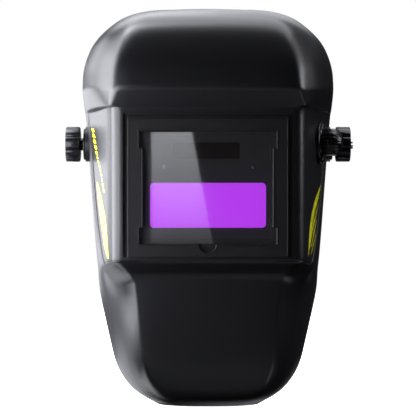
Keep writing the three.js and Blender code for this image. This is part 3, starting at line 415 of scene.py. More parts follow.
# ------------------------------------------------------------------ mask shell
# The same net of control points, in millimetres, as the CAD shell: rows from the crown to
# the lower rim, each from the centre line round the wearer's left to the rear rim.
BAY_Y = -113
NET = np.array([
    # crown line
    [[0, -36, 109], [0, -33, 109], [0, -30, 109.2], [0, -24, 109.5],
     [0, -15, 110], [0, -6, 110.5], [0, 3, 111], [0, 12, 111.5]],
    # crown shoulder
    [[0, -78, 106], [36, -77, 105.5], [48, -74, 105], [56, -62, 106.5],
     [60, -38, 109], [60.5, -18, 110], [61, -2, 111], [61.5, 12, 111.5]],
    # forehead top
    [[0, -112, 94], [48, -111.5, 93.5], [63, -109, 92], [80, -90, 88],
     [89.5, -52, 86], [91, -28, 87.5], [92, -6, 88], [92, 20, 88.5]],
    # forehead
    [[0, -124, 66], [57, -123.5, 66], [71, -121, 65.5], [89, -95, 64.5],
     [100, -56, 63], [102, -28, 63.5], [103, -2, 64], [103.2, 30, 64]],
    # brow edge
    [[0, -125.5, 40], [59, -125, 40], [73, -122.5, 39.5], [90.5, -96, 41],
     [101.3, -55, 42], [103, -28, 42], [103.8, 0, 42], [104, 38, 44]],
    # brow root
    [[0, -114.5, 27], [62, -114.5, 27], [77, -113.5, 27], [83.5, -98, 27],
     [97.5, -45, 27], [101.5, -20, 27.5], [103.2, 5, 28.5], [103.5, 41, 29]],
    # bay top
    [[0, BAY_Y, 25.5], [60, BAY_Y, 25.5], [73.5, -112.8, 25.5], [79.6, -97, 25],
     [97.6, -18, 24], [99.4, -14, 23.5], [102.3, 8, 24], [102.8, 42, 23]],
    # bay at the pivots
    [[0, BAY_Y, -30], [60, BAY_Y, -30], [73.5, -112.8, -30], [79.6, -97, -29],
     [93.4, -34, -27], [95.6, -30.5, -28], [97.5, 0, -29], [99.5, 40, -30]],
    # bay low
    [[0, BAY_Y, -70], [60, BAY_Y, -70], [73.3, -112.8, -70], [79.4, -97.5, -70],
     [88.1, -59, -71], [90.3, -55, -73], [93.2, -18, -77], [95, 30, -80]],
    # bay bottom edge
    [[0, BAY_Y, -95], [58, BAY_Y, -95], [73, -112, -95], [79, -99, -97],
     [82.4, -90, -98.5], [84.6, -83, -101], [89.8, -38, -103], [92.3, 20, -104]],
    # chin top
    [[0, -102, -106.5], [46, -102, -106.5], [59, -101.8, -107], [64.5, -96.5, -110],
     [69, -90, -112.5], [76.5, -76, -115], [85.5, -44, -116.5], [91.4, 13, -117]],
    # chin
    [[0, -101.5, -125], [46, -101.5, -125], [56, -101, -125], [60.5, -95.5, -125.5],
     [66.5, -86.5, -126], [73.2, -74, -126.5], [82.7, -45, -127], [89.3, 7, -128]],
    # chin low
    [[0, -100, -160], [44, -100, -160], [53.5, -99.5, -160], [58, -94.5, -160],
     [63.2, -86.5, -160], [69, -75, -160], [76, -52, -160], [80.8, -18, -160]],
    # chin foot
    [[0, -97, -186], [41, -97, -186], [49, -96, -186], [54, -91, -185.5],
     [58.4, -84, -185], [63.5, -74, -184.5], [70, -55, -184], [74.3, -36, -183]],
    # under the chin
    [[0, -86, -206], [31, -85.5, -205.5], [39, -84, -205], [44, -80, -204.5],
     [48, -75, -204], [52, -70, -203.3], [56.5, -62, -202], [60, -54, -200.5]],
    # lower rim
    [[0, -72, -211.5], [21, -71.5, -211.3], [26, -71, -211.1], [30, -70, -210.9],
     [33, -69, -210.8], [35.5, -68, -210.6], [38, -66.5, -210.4], [40, -65, -210]],
], dtype=float)
LAST_ROW, LAST_COLUMN = NET.shape[0] - 1, NET.shape[1] - 1
WALL = 2.0
RIM_ROUND = 0.7      # how far the rim's middle stands out of its edges
STENCIL = 0.5
# How far the rounding of the net's corners reaches along its rows and columns: 0.5 is fully
# soft, less is a tighter corner.
SOFT = 0.5
ROW_EDGE = {4: 0.12, 5: 0.25, 6: 0.25, 9: 0.12, 10: 0.25}
ROW_EDGE_FADE = (0, 0, 0, 0, 0.15, 0.6, 1, 1)
COLUMN_EDGE = {
    2: [SOFT, SOFT, 0.45, 0.35, 0.25, 0.2, SOFT, SOFT, SOFT, 0.35, 0.12, 0.12, 0.15, 0.3, SOFT, SOFT],
    3: [SOFT] * 5 + [0.4, 0.2, 0.2, 0.2, 0.3] + [SOFT] * 6,
    4: [SOFT] * 5 + [0.4, 0.12, 0.12, 0.12, 0.2] + [SOFT] * 6,
    5: [SOFT] * 5 + [0.4, 0.15, 0.2, 0.25, 0.35] + [SOFT] * 6,
}


def row_reach(row, column):
    edge = ROW_EDGE.get(row, SOFT)
    return edge + (SOFT - edge) * ROW_EDGE_FADE[column]


def column_reach(column, v):
    if column not in COLUMN_EDGE:
        return SOFT
    return float(np.interp(v, range(LAST_ROW + 1), COLUMN_EDGE[column]))


def weights(s, count, reach):
    """How much each control point counts at s on a polyline whose corners are rounded."""
    made = np.zeros(count)
    near = min(max(int(math.floor(s + 0.5)), 0), count - 1)
    offset = s - near
    t = reach(near)
    if 0 < near < count - 1 and t > 0 and abs(offset) < t:
        w = (offset + t) / (2 * t)
        made[near] = (1 - t) * ((1 - w) ** 2 + w * w) + 2 * w * (1 - w)
        made[near - 1] = t * (1 - w) ** 2
        made[near + 1] = t * w * w
        return made
    start = min(int(math.floor(s)), count - 2)
    made[start] = 1 - (s - start)
    made[start + 1] = s - start
    return made


def shell_points(us, vs):
    """The outer face at every column in us and row in vs, in millimetres."""
    grid = np.zeros((len(vs), len(us), 3))
    for j, v in enumerate(vs):
        half = np.array([
            weights(v, LAST_ROW + 1, lambda row: row_reach(row, column)) @ NET[:, column]
            for column in range(LAST_COLUMN + 1)
        ])
        full = np.concatenate([half[:0:-1] * (-1, 1, 1), half])
        reaches = [column_reach(abs(i - LAST_COLUMN), v) for i in range(len(full))]
        across = np.array([weights(u + LAST_COLUMN, len(full), reaches.__getitem__) for u in us])
        grid[j] = across @ full
    return grid


def shell_inner(us, vs, outer):
    """The inner face: one wall behind the outer one, along a normal taken over a stencil."""
    us_low = np.clip(us - STENCIL, -LAST_COLUMN, LAST_COLUMN)
    us_high = np.clip(us + STENCIL, -LAST_COLUMN, LAST_COLUMN)
    vs_low = np.clip(vs - STENCIL, 0, LAST_ROW)
    vs_high = np.clip(vs + STENCIL, 0, LAST_ROW)
    across = shell_points(us_high, vs) - shell_points(us_low, vs)
    down = shell_points(us, vs_high) - shell_points(us, vs_low)
    inward = np.cross(across, down)
    inward /= np.maximum(np.linalg.norm(inward, axis=2, keepdims=True), 1e-9)
    inward[vs == 0] = (0, 0, -1)
    return outer + inward * WALL


def shell_grid():
    steps = np.array([0, 0.06, 0.12, 0.2, 0.3, 0.4, 0.5, 0.6, 0.7, 0.8, 0.88, 0.94])
    half = np.concatenate([c + steps for c in range(LAST_COLUMN)] + [[LAST_COLUMN]])
    us = np.concatenate([-half[:0:-1], half])
    vs = np.concatenate([r + steps for r in range(LAST_ROW)] + [[LAST_ROW]])
    return us, vs


def shell_mesh():
    us, vs = shell_grid()
    outer = shell_points(us, vs)
    inner = shell_inner(us, vs, outer)
    rows, columns = len(vs), len(us)
    points = np.concatenate([outer.reshape(-1, 3), inner.reshape(-1, 3)]) * MM
    inside = rows * columns
    faces = []
    for j in range(rows - 1):
        for i in range(columns - 1):
            a = j * columns + i
            quad = (a, a + columns, a + columns + 1, a + 1)
            faces.append(quad)
            faces.append(tuple(inside + q for q in quad[::-1]))
    # The rim runs down one side, along the bottom and up the other, slightly rounded.
    rim = [j * columns for j in range(rows)]
    rim += [(rows - 1) * columns + i for i in range(1, columns)]
    rim += [j * columns + columns - 1 for j in range(rows - 2, -1, -1)]
    beside = [r + 1 for r in rim[:rows]] + [r - columns for r in rim[rows:rows + columns - 2]]
    beside += [r - 1 for r in rim[rows + columns - 2:]]
    middle = []
    for r, b in zip(rim, beside):
        outward = points[r] - points[b]
        outward /= np.linalg.norm(outward) or 1.0
        middle.append((points[r] + points[inside + r]) / 2 + outward * RIM_ROUND * MM)
    first = len(points)
    points = np.concatenate([points, np.array(middle)])
    for k in range(len(rim) - 1):
        a, b = rim[k], rim[k + 1]
        faces.append((b, a, first + k, first + k + 1))
        faces.append((first + k + 1, first + k, inside + a, inside + b))
    return face_outwards(mesh_object("mask_shell", points, faces), merge=0.002 * MM)


def rod(radius, start, end, count=48):
    """A closed rod between two points, in metres."""
    axis = Vector(end) - Vector(start)
    return place(prism(circle(radius, count), 0.0, axis.length), along(axis, start))


def block(low, high):
    (x0, y0, z0), (x1, y1, z1) = low, high
    return prism([(x0, y0), (x1, y0), (x1, y1), (x0, y1)], z0, z1)


def bar(half_width, near, far, low, high):
    """A small straight bar of print that runs out along +Y, its sizes in millimetres."""
    return block((-half_width * MM, near * MM, low * MM), (half_width * MM, far * MM, high * MM))


DIAL = JOINTS["shade_knob_turn"]
DIAL_AXIS = Vector(DIAL["axis"]).normalized()
DIAL_AT = Vector(DIAL["pos_m"])


def on_dial(height):
    """The point at that height, in millimetres, over the side panel on the dial's axis."""
    return DIAL_AT + DIAL_AXIS * height * MM


# A round pad and a stop peg stand at each pivot, and a low seat under the shade dial.
PAD_R, PAD_INNER = 14.5 * MM, 96.0 * MM
PAD_TO_WASHER = 0.3 * MM
PEG_R, PEG_Y, PEG_INNER, PEG_OUTER = 2.4 * MM, 17.0 * MM, 93.6 * MM, 98.5 * MM
PIVOT_BORE_R, PIVOT_BORE_INNER, PIVOT_BORE_OUTER = 4.4 * MM, 90.0 * MM, 110.0 * MM
SEAT_R, SEAT_FOOT, SEAT_TOP = 17.8 * MM, -2.0, 1.0
DIAL_BORE_R, DIAL_BORE_REACH = 4.8 * MM, 8.0
# The filter bay's opening is cut a little inside the frame's outline, through the bay's wall.
OPENING_HALF, OPENING_FOOT, OPENING_HEAD = 66.3 * MM, 0.7 * MM, 1.7 * MM
OPENING_AHEAD, OPENING_BEHIND = 10.0 * MM, 6.0 * MM


def build_shell():
    shell = shell_mesh()
    pad_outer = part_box("pivot_washer_left")[0].x - PAD_TO_WASHER
    for _, s in SIDES:
        boolean(shell, rod(PAD_R, (s * PAD_INNER, 0, 0), (s * pad_outer, 0, 0), 64), "UNION")
        boolean(shell, rod(PEG_R, (s * PEG_INNER, PEG_Y, 0), (s * PEG_OUTER, PEG_Y, 0), 24), "UNION")
    boolean(shell, rod(SEAT_R, on_dial(SEAT_FOOT), on_dial(SEAT_TOP), 64), "UNION")
    frame_low, frame_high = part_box("front_frame")
    low = (-OPENING_HALF, frame_low.y - OPENING_AHEAD, frame_low.z + OPENING_FOOT)
    high = (OPENING_HALF, BAY_Y * MM + OPENING_BEHIND, frame_high.z - OPENING_HEAD)
    boolean(shell, block(low, high), "DIFFERENCE")
    for _, s in SIDES:
        bore = rod(PIVOT_BORE_R, (s * PIVOT_BORE_INNER, 0, 0), (s * PIVOT_BORE_OUTER, 0, 0))
        boolean(shell, bore, "DIFFERENCE")
    boolean(shell, rod(DIAL_BORE_R, on_dial(-DIAL_BORE_REACH), on_dial(DIAL_BORE_REACH)), "DIFFERENCE")
    return shell


shell = build_shell()
finish_piece(shell, "mask", "shell", SHELL, angle=28.0)

# ------------------------------------------------------------------ ridge along the ledge
# A fine ridge runs down the rear ledge of each side panel and round under the filter bay. Its
# line is given as (column, row) of the net, and its radius in millimetres.
RIDGE_LINE = [(4, 6.2), (4, 7), (4, 8), (4, 8.7), (3.9, 8.92), (3.6, 9), (3, 9), (2.3, 9), (1.6, 9), (1, 9)]
RIDGE_R, RIDGE_SIDES, RIDGE_STEPS = 0.65, 8, 96
RIDGE_END, RIDGE_TAPER = 0.04, 0.35      # the share of a half wave left off, and its power


def ridge(name, side):
    """A round bead, thinner at its ends, whose sections all face the same way along the line."""
    knots = np.array(RIDGE_LINE)
    share = np.linspace(0, len(knots) - 1, RIDGE_STEPS + 1)
    us = np.interp(share, range(len(knots)), knots[:, 0]) * side
    vs = np.interp(share, range(len(knots)), knots[:, 1])
    path = [Vector(shell_points(np.array([u]), np.array([v]))[0, 0]) for u, v in zip(us, vs)]
    points = []
    for i, at in enumerate(path):
        ahead = (path[min(i + 1, RIDGE_STEPS)] - path[max(i - 1, 0)]).normalized()
        out = ahead.cross(Vector((0, 1, 0))).normalized()
        front = out.cross(ahead)
        wave = math.sin(math.pi * (RIDGE_END + (1 - 2 * RIDGE_END) * i / RIDGE_STEPS))
        radius = RIDGE_R * wave ** RIDGE_TAPER
        for k in range(RIDGE_SIDES):
            angle = 2 * math.pi * k / RIDGE_SIDES
            points.append((at + radius * (out * math.cos(angle) + front * math.sin(angle))) * MM)
    return finish_piece(strip(name, points, RIDGE_SIDES), "mask", material=GLOSS_KNOB, angle=60.0)


ridge("ledge_ridge_left", 1)
ridge("ledge_ridge_right", -1)

# ------------------------------------------------------------------ printed marks
# Thin printed strokes that lie on the side panels. Each is a line of (u, u, z) points: the
# columns of the net where its two edges lie, and the height in millimetres.
PRINT_LIFT = 0.06 * MM
PANEL_ROWS, PANEL_DROPS = (6, 7, 8, 9), (-25, 29, 70, 97)     # rows of the net, how low each lies
STROKE_STRIPS, STROKE_SAMPLES, STROKE_SMOOTHINGS = 6, 26, 3


def on_shell(side, u, z):
    """A point just over the side panel. It lies at column u of the net, 4 at the rear ledge and
    3 at the front corner, and about z millimetres high."""
    v = float(np.interp(-z, PANEL_DROPS, PANEL_ROWS))
    us, vs = np.array([side * u]), np.array([v])
    outer = shell_points(us, vs)
    inner = shell_inner(us, vs, outer)
    outward = Vector((outer - inner)[0, 0]).normalized()
    return Vector(outer[0, 0]) * MM + outward * PRINT_LIFT


def stroke(points, faces, side, line):
    """Adds one tapering stroke, given by (u of one edge, u of the other, z), to points and faces."""
    knots = np.array(line, dtype=float)
    at = np.linspace(0, len(knots) - 1, STROKE_SAMPLES)
    path = np.array([[np.interp(t, range(len(knots)), knots[:, k]) for k in range(3)] for t in at])
    for _ in range(STROKE_SMOOTHINGS):
        path[1:-1] = (path[:-2] + 2 * path[1:-1] + path[2:]) / 4
    rows = [
        [on_shell(side, u, z) for u in np.linspace(first, last, STROKE_STRIPS + 1)]
        for first, last, z in path
    ]
    for a, b in zip(rows, rows[1:]):
        for k in range(STROKE_STRIPS):
            faces.append(tuple(range(len(points), len(points) + 4)))
            points.extend([a[k], a[k + 1], b[k + 1], b[k]])


def printed(name, side, lines):
    points, faces = [], []
    for line in lines:
        stroke(points, faces, side, line)
    piece = face_outwards(mesh_object(name, points, faces), merge=0.01 * MM)
    return finish_piece(piece, "mask", material=YELLOW, angle=80.0)


# A claw mark on the wearer's left panel: one long curved slash with three shorter ones.
printed("print_claw_left", 1, [
    [(3.95, 3.93, -36), (3.80, 3.52, -46), (3.46, 3.20, -61), (3.20, 2.98, -80), (3.04, 3.00, -91)],
    [(3.88, 3.86, -50), (3.70, 3.60, -61), (3.44, 3.32, -72), (3.18, 3.10, -84)],
    [(3.86, 3.84, -62), (3.70, 3.61, -72), (3.46, 3.37, -83)],
    [(3.88, 3.86, -74), (3.76, 3.67, -81), (3.50, 3.44, -89)],
])
# A long swoosh on the other panel, under two rows of short slanted dashes.
printed("print_swoosh_right", -1, [
    [(3.80, 3.74, -34), (3.78, 3.36, -50), (3.63, 3.11, -67), (3.47, 2.92, -84), (2.95, 2.85, -93)],
])


def dash(u, z, half, height):
    return [(u + half, u - 0.3 * half, z), (u + 0.3 * half, u - half, z - height)]


printed("print_dashes_right", -1, [
    *(dash(3.86 - 0.045 * i, 12.5 - 5.0 * i, 0.11, 3.6) for i in range(5)),
    *(dash(3.64 - 0.055 * i, -12.0 - 3.8 * i, 0.07, 2.4) for i in range(8)),
])

# ------------------------------------------------------------------ beads on the lens frame


def outset(outline, distance):
    """A closed outline of (x, z), anticlockwise from the front, moved outwards with mitred corners."""
    moved = []
    for i, point in enumerate(outline):
        at = Vector(point)
        along_a = (at - Vector(outline[i - 1])).normalized()
        along_b = (Vector(outline[(i + 1) % len(outline)]) - at).normalized()
        out_a, out_b = Vector((along_a.y, -along_a.x)), Vector((along_b.y, -along_b.x))
        moved.append(at + (out_a + out_b) * distance / (1 + out_a.dot(out_b)))
    return moved


BEAD_SUNK = 0.2 * MM


def bead(name, outline, width, height):
    """A raised bead with sloping sides that follows an outline on the frame's face, in metres."""
    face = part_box("front_frame")[0].y
    section = [(0.0, -BEAD_SUNK), (0.35 * width, height), (0.65 * width, height), (width, -BEAD_SUNK)]
    points = [(x, face - rise, z) for away, rise in section for x, z in outset(outline, away)]
    faces = loop_faces(len(section), len(outline), closed=True)
    return finish_piece(mesh_object(name, points, faces), "mask", material=FRAME, angle=20.0)


def rectangle(low, high):
    return [(low.x, low.z), (high.x, low.z), (high.x, high.z), (low.x, high.z)]


# The frame's window is a little smaller than the cover lens. It is wider over a notch at each
# corner, and a thumb notch is cut in the middle of its foot.
WINDOW_IN_X, WINDOW_IN_Z = 4.5 * MM, 1.2 * MM
CORNER_OUT, CORNER_TALL = 3.0 * MM, 12.5 * MM
THUMB_X, THUMB_R = -0.6 * MM, 6.9 * MM
BORDER = Vector((7.7, 0, 9.3)) * MM       # from the lens's edge out to the frame's
lens_low, lens_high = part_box("front_cover_lens")
window_low = lens_low + Vector((WINDOW_IN_X, 0, WINDOW_IN_Z))
window_high = lens_high - Vector((WINDOW_IN_X, 0, WINDOW_IN_Z))
left_half = [
    (window_high.x + CORNER_OUT, window_low.z),
    (window_high.x + CORNER_OUT, window_low.z + CORNER_TALL),
    (window_high.x, window_low.z + CORNER_TALL),
    (window_high.x, window_high.z - CORNER_TALL),
    (window_high.x + CORNER_OUT, window_high.z - CORNER_TALL),
    (window_high.x + CORNER_OUT, window_high.z),
]
thumb = [
    (THUMB_X + THUMB_R * math.cos(math.radians(a)), window_low.z + THUMB_R * math.sin(math.radians(a)))
    for a in range(180, 361, 15)
]
window_outline = thumb + left_half + [(-x, z) for x, z in reversed(left_half)]
border_outline = rectangle(lens_low - BORDER, lens_high + BORDER)
bead("frame_bead_window", outset(window_outline, 0.1 * MM), 1.2 * MM, 0.45 * MM)
bead("frame_bead_border", outset(border_outline, -1.1 * MM), 1.0 * MM, 0.4 * MM)

# ------------------------------------------------------------------ turned and lobed pieces


def ring_solid(name, rings, lobes=0, per_lobe=14, count=96, sharp=2.0, closed=False):
    """A solid made of rings about Z. Each ring is (radius, height, depth of its grooves); the
    grooves divide it into lobes. A closed one has its last ring joined to its first."""
    count = lobes * per_lobe if lobes else count
    points = []
    for radius, height, depth in rings:
        for i in range(count):
            angle = 2 * math.pi * i / count
            dip = (1 - abs(math.sin(lobes * angle / 2))) ** sharp if lobes else 0.0
            r = radius - depth * dip
            points.append((r * math.cos(angle), r * math.sin(angle), height))
    faces = loop_faces(len(rings), count, closed)
    for k in () if closed else (0, len(rings) - 1):
        middle = len(points)
        points.append((0.0, 0.0, rings[k][1]))
        faces += [(middle, k * count + i, k * count + (i + 1) % count) for i in range(count)]
    points = [tuple(c * MM for c in p) for p in points]
    return face_outwards(mesh_object(name, points, faces))


def rounded_rings(inner, outer, low, high, edge):
    """The rings of a bored disc with rounded outer edges, from the bore's foot round to its top."""
    arc = [(1 - math.sin(math.radians(a)), 1 - math.cos(math.radians(a))) for a in (0, 30, 60, 90)]
    foot = [(outer - edge * back, low + edge * up, 0.0) for back, up in arc]
    top = [(outer - edge * back, high - edge * down, 0.0) for back, down in reversed(arc)]
    return [(inner, low, 0.0), *foot, *top, (inner, high, 0.0)]


BOLT_BORE = 4.2
WASHER_EDGE = 0.45
NECK = 2.6               # a knob's neck stands this far out of its washer
LOBE_TURN, LOBE_SLANT = 22.5, 4.0      # degrees: half a lobe, and each knob's turn from there
for side, s in SIDES:
    low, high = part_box(f"tension_knob_{side}")
    start = min(abs(low.x), abs(high.x)) / MM
    length = abs(high.x - low.x) / MM
    outer = (high.z - low.z) / 2 / MM
    rings = [
        (BOLT_BORE, 0, 0), (4.7, 0, 0), (5.2, 0.5, 0), (5.2, NECK - 0.4, 0), (5.7, NECK, 0),
        (outer - 1.2, NECK, 1.7), (outer - 0.35, NECK + 0.35, 1.7), (outer, NECK + 1.2, 1.7),
        (outer, length / 2 + NECK / 2, 1.75), (outer, length - 1.2, 1.7),
        (outer - 0.35, length - 0.35, 1.7), (outer - 1.2, length, 1.6),
        (9.6, length, 0), (9.2, length - 0.4, 0), (8.6, length - 2.2, 0),
        (8.4, length - 6, 0), (BOLT_BORE, length - 6, 0),
    ]
    knob = ring_solid(f"grip_{side}", rings, lobes=8, per_lobe=18, sharp=3.2, closed=True)
    turn = Matrix.Rotation(math.radians(LOBE_TURN - LOBE_SLANT * s), 4, "Z")
    place(knob, along((s, 0, 0), (s * start * MM, 0, 0)) @ turn)
    finish_piece(knob, f"tension_knob_{side}", f"tension_knob_{side}", GLOSS_KNOB, angle=32.0)

    low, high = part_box(f"pivot_washer_{side}")
    start = min(abs(low.x), abs(high.x)) / MM
    washer_r, washer_t = (high.z - low.z) / 2 / MM, (high.x - low.x) / MM
    rings = rounded_rings(BOLT_BORE, washer_r, 0, washer_t, WASHER_EDGE)
    washer = ring_solid(f"washer_{side}", rings, closed=True)
    place(washer, along((s, 0, 0), (s * start * MM, 0, 0)))
    finish_piece(washer, "mask", f"pivot_washer_{side}", GLOSS_KNOB)

# Shade dial: a bevelled disc with printed numbers round it.
DIAL_SEAT, DIAL_R, DIAL_T = 1.3, 17.0, 2.0
DIAL_FACE = DIAL_SEAT + DIAL_T
dial_disc = ring_solid("dial_disc", [
    (4.8, DIAL_SEAT, 0), (DIAL_R - 0.3, DIAL_SEAT, 0), (DIAL_R, DIAL_SEAT + 0.3, 0),
    (DIAL_R, DIAL_SEAT + 1.0, 0), (DIAL_R - 0.4, DIAL_SEAT + 1.6, 0), (DIAL_R - 1.2, DIAL_FACE, 0),
    (DIAL_R - 2.2, DIAL_FACE - 0.1, 0), (DIAL_R - 2.6, DIAL_FACE - 0.35, 0),
    (11.4, DIAL_FACE - 0.35, 0), (11.2, DIAL_FACE, 0), (4.8, DIAL_FACE, 0),
], closed=True)
dial_pose = along(DIAL_AXIS, DIAL_AT)
place(dial_disc, dial_pose)
finish_piece(dial_disc, "mask", "shade_dial_plate", GLOSS_KNOB)


LETTER_DEPTH = 0.06


def lettering(name, text, size, matrix):
    curve = bpy.data.curves.new(name, "FONT")
    curve.body = text
    curve.size = size * MM
    curve.extrude = LETTER_DEPTH * MM / 2
    curve.align_x = "CENTER"
    curve.align_y = "CENTER"
    holder = add_object(name, curve)
    bpy.context.view_layer.update()
    mesh = bpy.data.meshes.new_from_object(holder.evaluated_get(bpy.context.evaluated_depsgraph_get()))
    bpy.data.objects.remove(holder)
    mesh.transform(matrix)
    return mesh


def merge(name, meshes, material):
    work = bmesh.new()
    for mesh in meshes:
        work.from_mesh(mesh)
    mesh = bpy.data.meshes.new(name)
    work.to_mesh(mesh)
    work.free()
    mesh.materials.append(material)
    return add_object(name, mesh)


SHADES = ("9", "10", "11", "12", "13")
NUMBER_SIZE, NUMBER_R = 3.0, 13.3
FIRST_MARK, SHADE_STEP, TICK_STEP = 140, 55, 11      # degrees round the dial
TICKS = (len(SHADES) - 1) * SHADE_STEP // TICK_STEP + 1


def dial_turn(degrees):
    """A turn about the dial that brings a mark on its +Y line to an angle from +X."""
    return Matrix.Rotation(math.radians(degrees - 90), 4, "Z")


marks = []
for i, shade in enumerate(SHADES):
    up = Matrix.Translation((0, NUMBER_R * MM, (DIAL_FACE - 0.32) * MM))
    pose = dial_pose @ dial_turn(FIRST_MARK - SHADE_STEP * i) @ up
    marks.append(lettering(f"shade_{shade}", shade, NUMBER_SIZE, pose))
for i in range(TICKS):
    tick = bar(0.12, 11.45, 11.9, DIAL_FACE - 0.36, DIAL_FACE - 0.29)
    mesh = tick.data
    mesh.transform(dial_pose @ dial_turn(FIRST_MARK - TICK_STEP * i))
    bpy.data.objects.remove(tick)
    marks.append(mesh)
numbers = merge("dial_numbers", marks, WHITE_PRINT)
finish_piece(numbers, "mask", angle=60.0)

shade_rings = [
    (8.1, 0.3, 0), (10.7, 0.3, 0.3), (11.0, 0.6, 0.4), (11.1, 5.0, 0.4), (11.0, 9.4, 0.4),
    (10.4, 11.2, 0.35), (9.2, 12.8, 0.3), (7.6, 14.3, 0.25), (6.0, 15.4, 0.15), (5.0, 15.95, 0.1),
    (3.6, 15.7, 0.0), (0.6, 15.5, 0.0),
    (0.6, 10.2, 0), (3.2, 10.0, 0), (3.2, 3.4, 0), (8.1, 3.2, 0),
]
cap = ring_solid("shade_cap", [(r, DIAL_FACE + h, d) for r, h, d in shade_rings],
                 lobes=14, per_lobe=10, sharp=1.4, closed=True)
place(cap, dial_pose)
finish_piece(cap, "shade_knob", "shade_knob", GLOSS_KNOB, angle=40.0)
pointer = bar(0.35, 7.3, 11.0, DIAL_FACE + 3.0, DIAL_FACE + 3.4)
pointer.name = "shade_pointer"
place(pointer, dial_pose @ dial_turn(FIRST_MARK))
finish_piece(pointer, "shade_knob", material=WHITE_PRINT)

# Sensitivity knob on the back of the cartridge.
RAIL_HEIGHT = 2.4 * MM       # the back case's rails stand this far behind its face
knob_at = Vector(JOINTS["sensitivity_knob_turn"]["pos_m"])
back_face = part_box("cartridge_back_case")[1].y - RAIL_HEIGHT
knob_pose = along((0, 1, 0), (knob_at.x, back_face, knob_at.z))
rise = (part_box("sensitivity_knob")[1].y - back_face) / MM
dial_rings = [(5.3, 0.3, 0), (6.0, 0.3, 0.6), (6.0, rise - 1.0, 0.6), (5.7, rise - 0.3, 0.5),
              (5.0, rise, 0.3), (4.2, rise, 0), (3.9, rise - 0.3, 0)]
small = ring_solid("sensitivity_grip", dial_rings, lobes=12, per_lobe=10, sharp=1.6)
place(small, knob_pose)
finish_piece(small, "sensitivity_knob", "sensitivity_knob", KNOB)
pointer = bar(0.3, 1.2, 3.8, rise - 0.28, rise - 0.22)
place(pointer, knob_pose)
finish_piece(pointer, "sensitivity_knob", material=WHITE_PRINT)

# ------------------------------------------------------------------ headgear
BAND_A, BAND_B, BAND_T = 80.0, 101.0, 1.6
FRONT_H, REAR_H = 25.0, 19.0
_, RATCHET_Y, RATCHET_Z = JOINTS["ratchet_knob_turn"]["axis"]
BAND_TILT = math.atan2(-RATCHET_Z, RATCHET_Y)
BAND_CENTRE = (0, 20 * MM, -3 * MM)
HEADBAND = Matrix.Translation(BAND_CENTRE) @ Matrix.Rotation(-BAND_TILT, 4, "X")


def band_at(angle, offset, z):
    """A point on the band's ellipse, the angle counted from the brow towards the left, in metres."""
    return Vector(((BAND_A + offset) * math.sin(angle), -(BAND_B + offset) * math.cos(angle), z)) * MM


def swept(name, start, end, section, steps, section_at=None):
    """A strip whose cross-section, as (offset, z) points, follows the band from one angle to
    another. section_at(t) may give the section at a share t of the way."""
    points = []
    for i in range(steps + 1):
        t = i / steps
        here = section_at(t) if section_at else section
        points += [band_at(start + (end - start) * t, offset, z) for offset, z in here]
    return strip(name, points, len(section))


def band_section(middle, half_h, groove=0.0):
    """A band's section with eased edges, and a shallow channel along its outer face."""
    e = 0.3
    out, low = middle + BAND_T / 2, middle - BAND_T / 2
    section = [(low + e, -half_h), (out - e, -half_h), (out, -half_h + e)]
    if groove:
        inner = half_h - 3.0
        section += [(out, -inner), (out - groove, -inner + 0.5), (out - groove, inner - 0.5), (out, inner)]
    section += [(out, half_h - e), (out - e, half_h)]
    section += [(low + e, half_h), (low, half_h - e), (low, -half_h + e)]
    return section


FRONT_END, REAR_START, BLEND_START, REAR_END = (math.radians(a) for a in (122, 110, 118, 174))
band = swept("browband", -FRONT_END, FRONT_END, band_section(0, FRONT_H / 2, 0.25), 120)
place(band, HEADBAND)
finish_piece(band, "headgear", "front_band", BANDS)

REAR_MIDDLE = -(BAND_T + 0.45)       # the rear bands lie inside the front one
for side, s in SIDES:
    section = band_section(REAR_MIDDLE, REAR_H / 2)
    rear = swept(f"rear_strap_{side}", s * REAR_START, s * REAR_END, section, 60)
    place(rear, HEADBAND)
    start = HEADBAND @ band_at(s * BLEND_START, REAR_MIDDLE, 0)
    rear.data.materials.append(BANDS)
    smooth(rear)
    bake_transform(rear)
    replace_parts(rear, f"rear_band_{side}")

CROWN_A, CROWN_TOP, CROWN_W, CROWN_Y = 75.2, 92.0, 22.0, 10.0
CROWN_FOOT, CROWN_OVER, CROWN_STEPS = -7, 30, 80     # degrees, millimetres past the middle
PEG_PITCH, PEG_HOLE_R = 18.0, 2.6 * MM
for side, s in SIDES:
    offset = s * (BAND_T / 2 + 0.15)
    first, last = math.radians(CROWN_FOOT), math.pi / 2 + math.asin(CROWN_OVER / CROWN_A)
    section = band_section(0, CROWN_W / 2)
    points = []
    for i in range(CROWN_STEPS + 1):
        angle = first + (last - first) * i / CROWN_STEPS
        near_end = min(1.0, (CROWN_STEPS - i) / 6)
        pinch = math.sqrt(1 - (1 - near_end) ** 2) * 0.75 + 0.25
        for out, across in section:
            points.append(Vector((
                s * (CROWN_A + offset + out) * math.cos(angle),
                CROWN_Y + across * pinch,
                (CROWN_TOP + offset + out) * math.sin(angle),
            )) * MM)
    strap = strip(f"crown_arch_{side}", points, len(section))
    for k in (-1, 0, 1):
        x, y = k * PEG_PITCH * MM, CROWN_Y * MM
        boolean(strap, rod(PEG_HOLE_R, (x, y, 80 * MM), (x, y, 100 * MM), 24), "DIFFERENCE")
    finish_piece(strap, "headgear", f"crown_strap_{side}", BANDS)

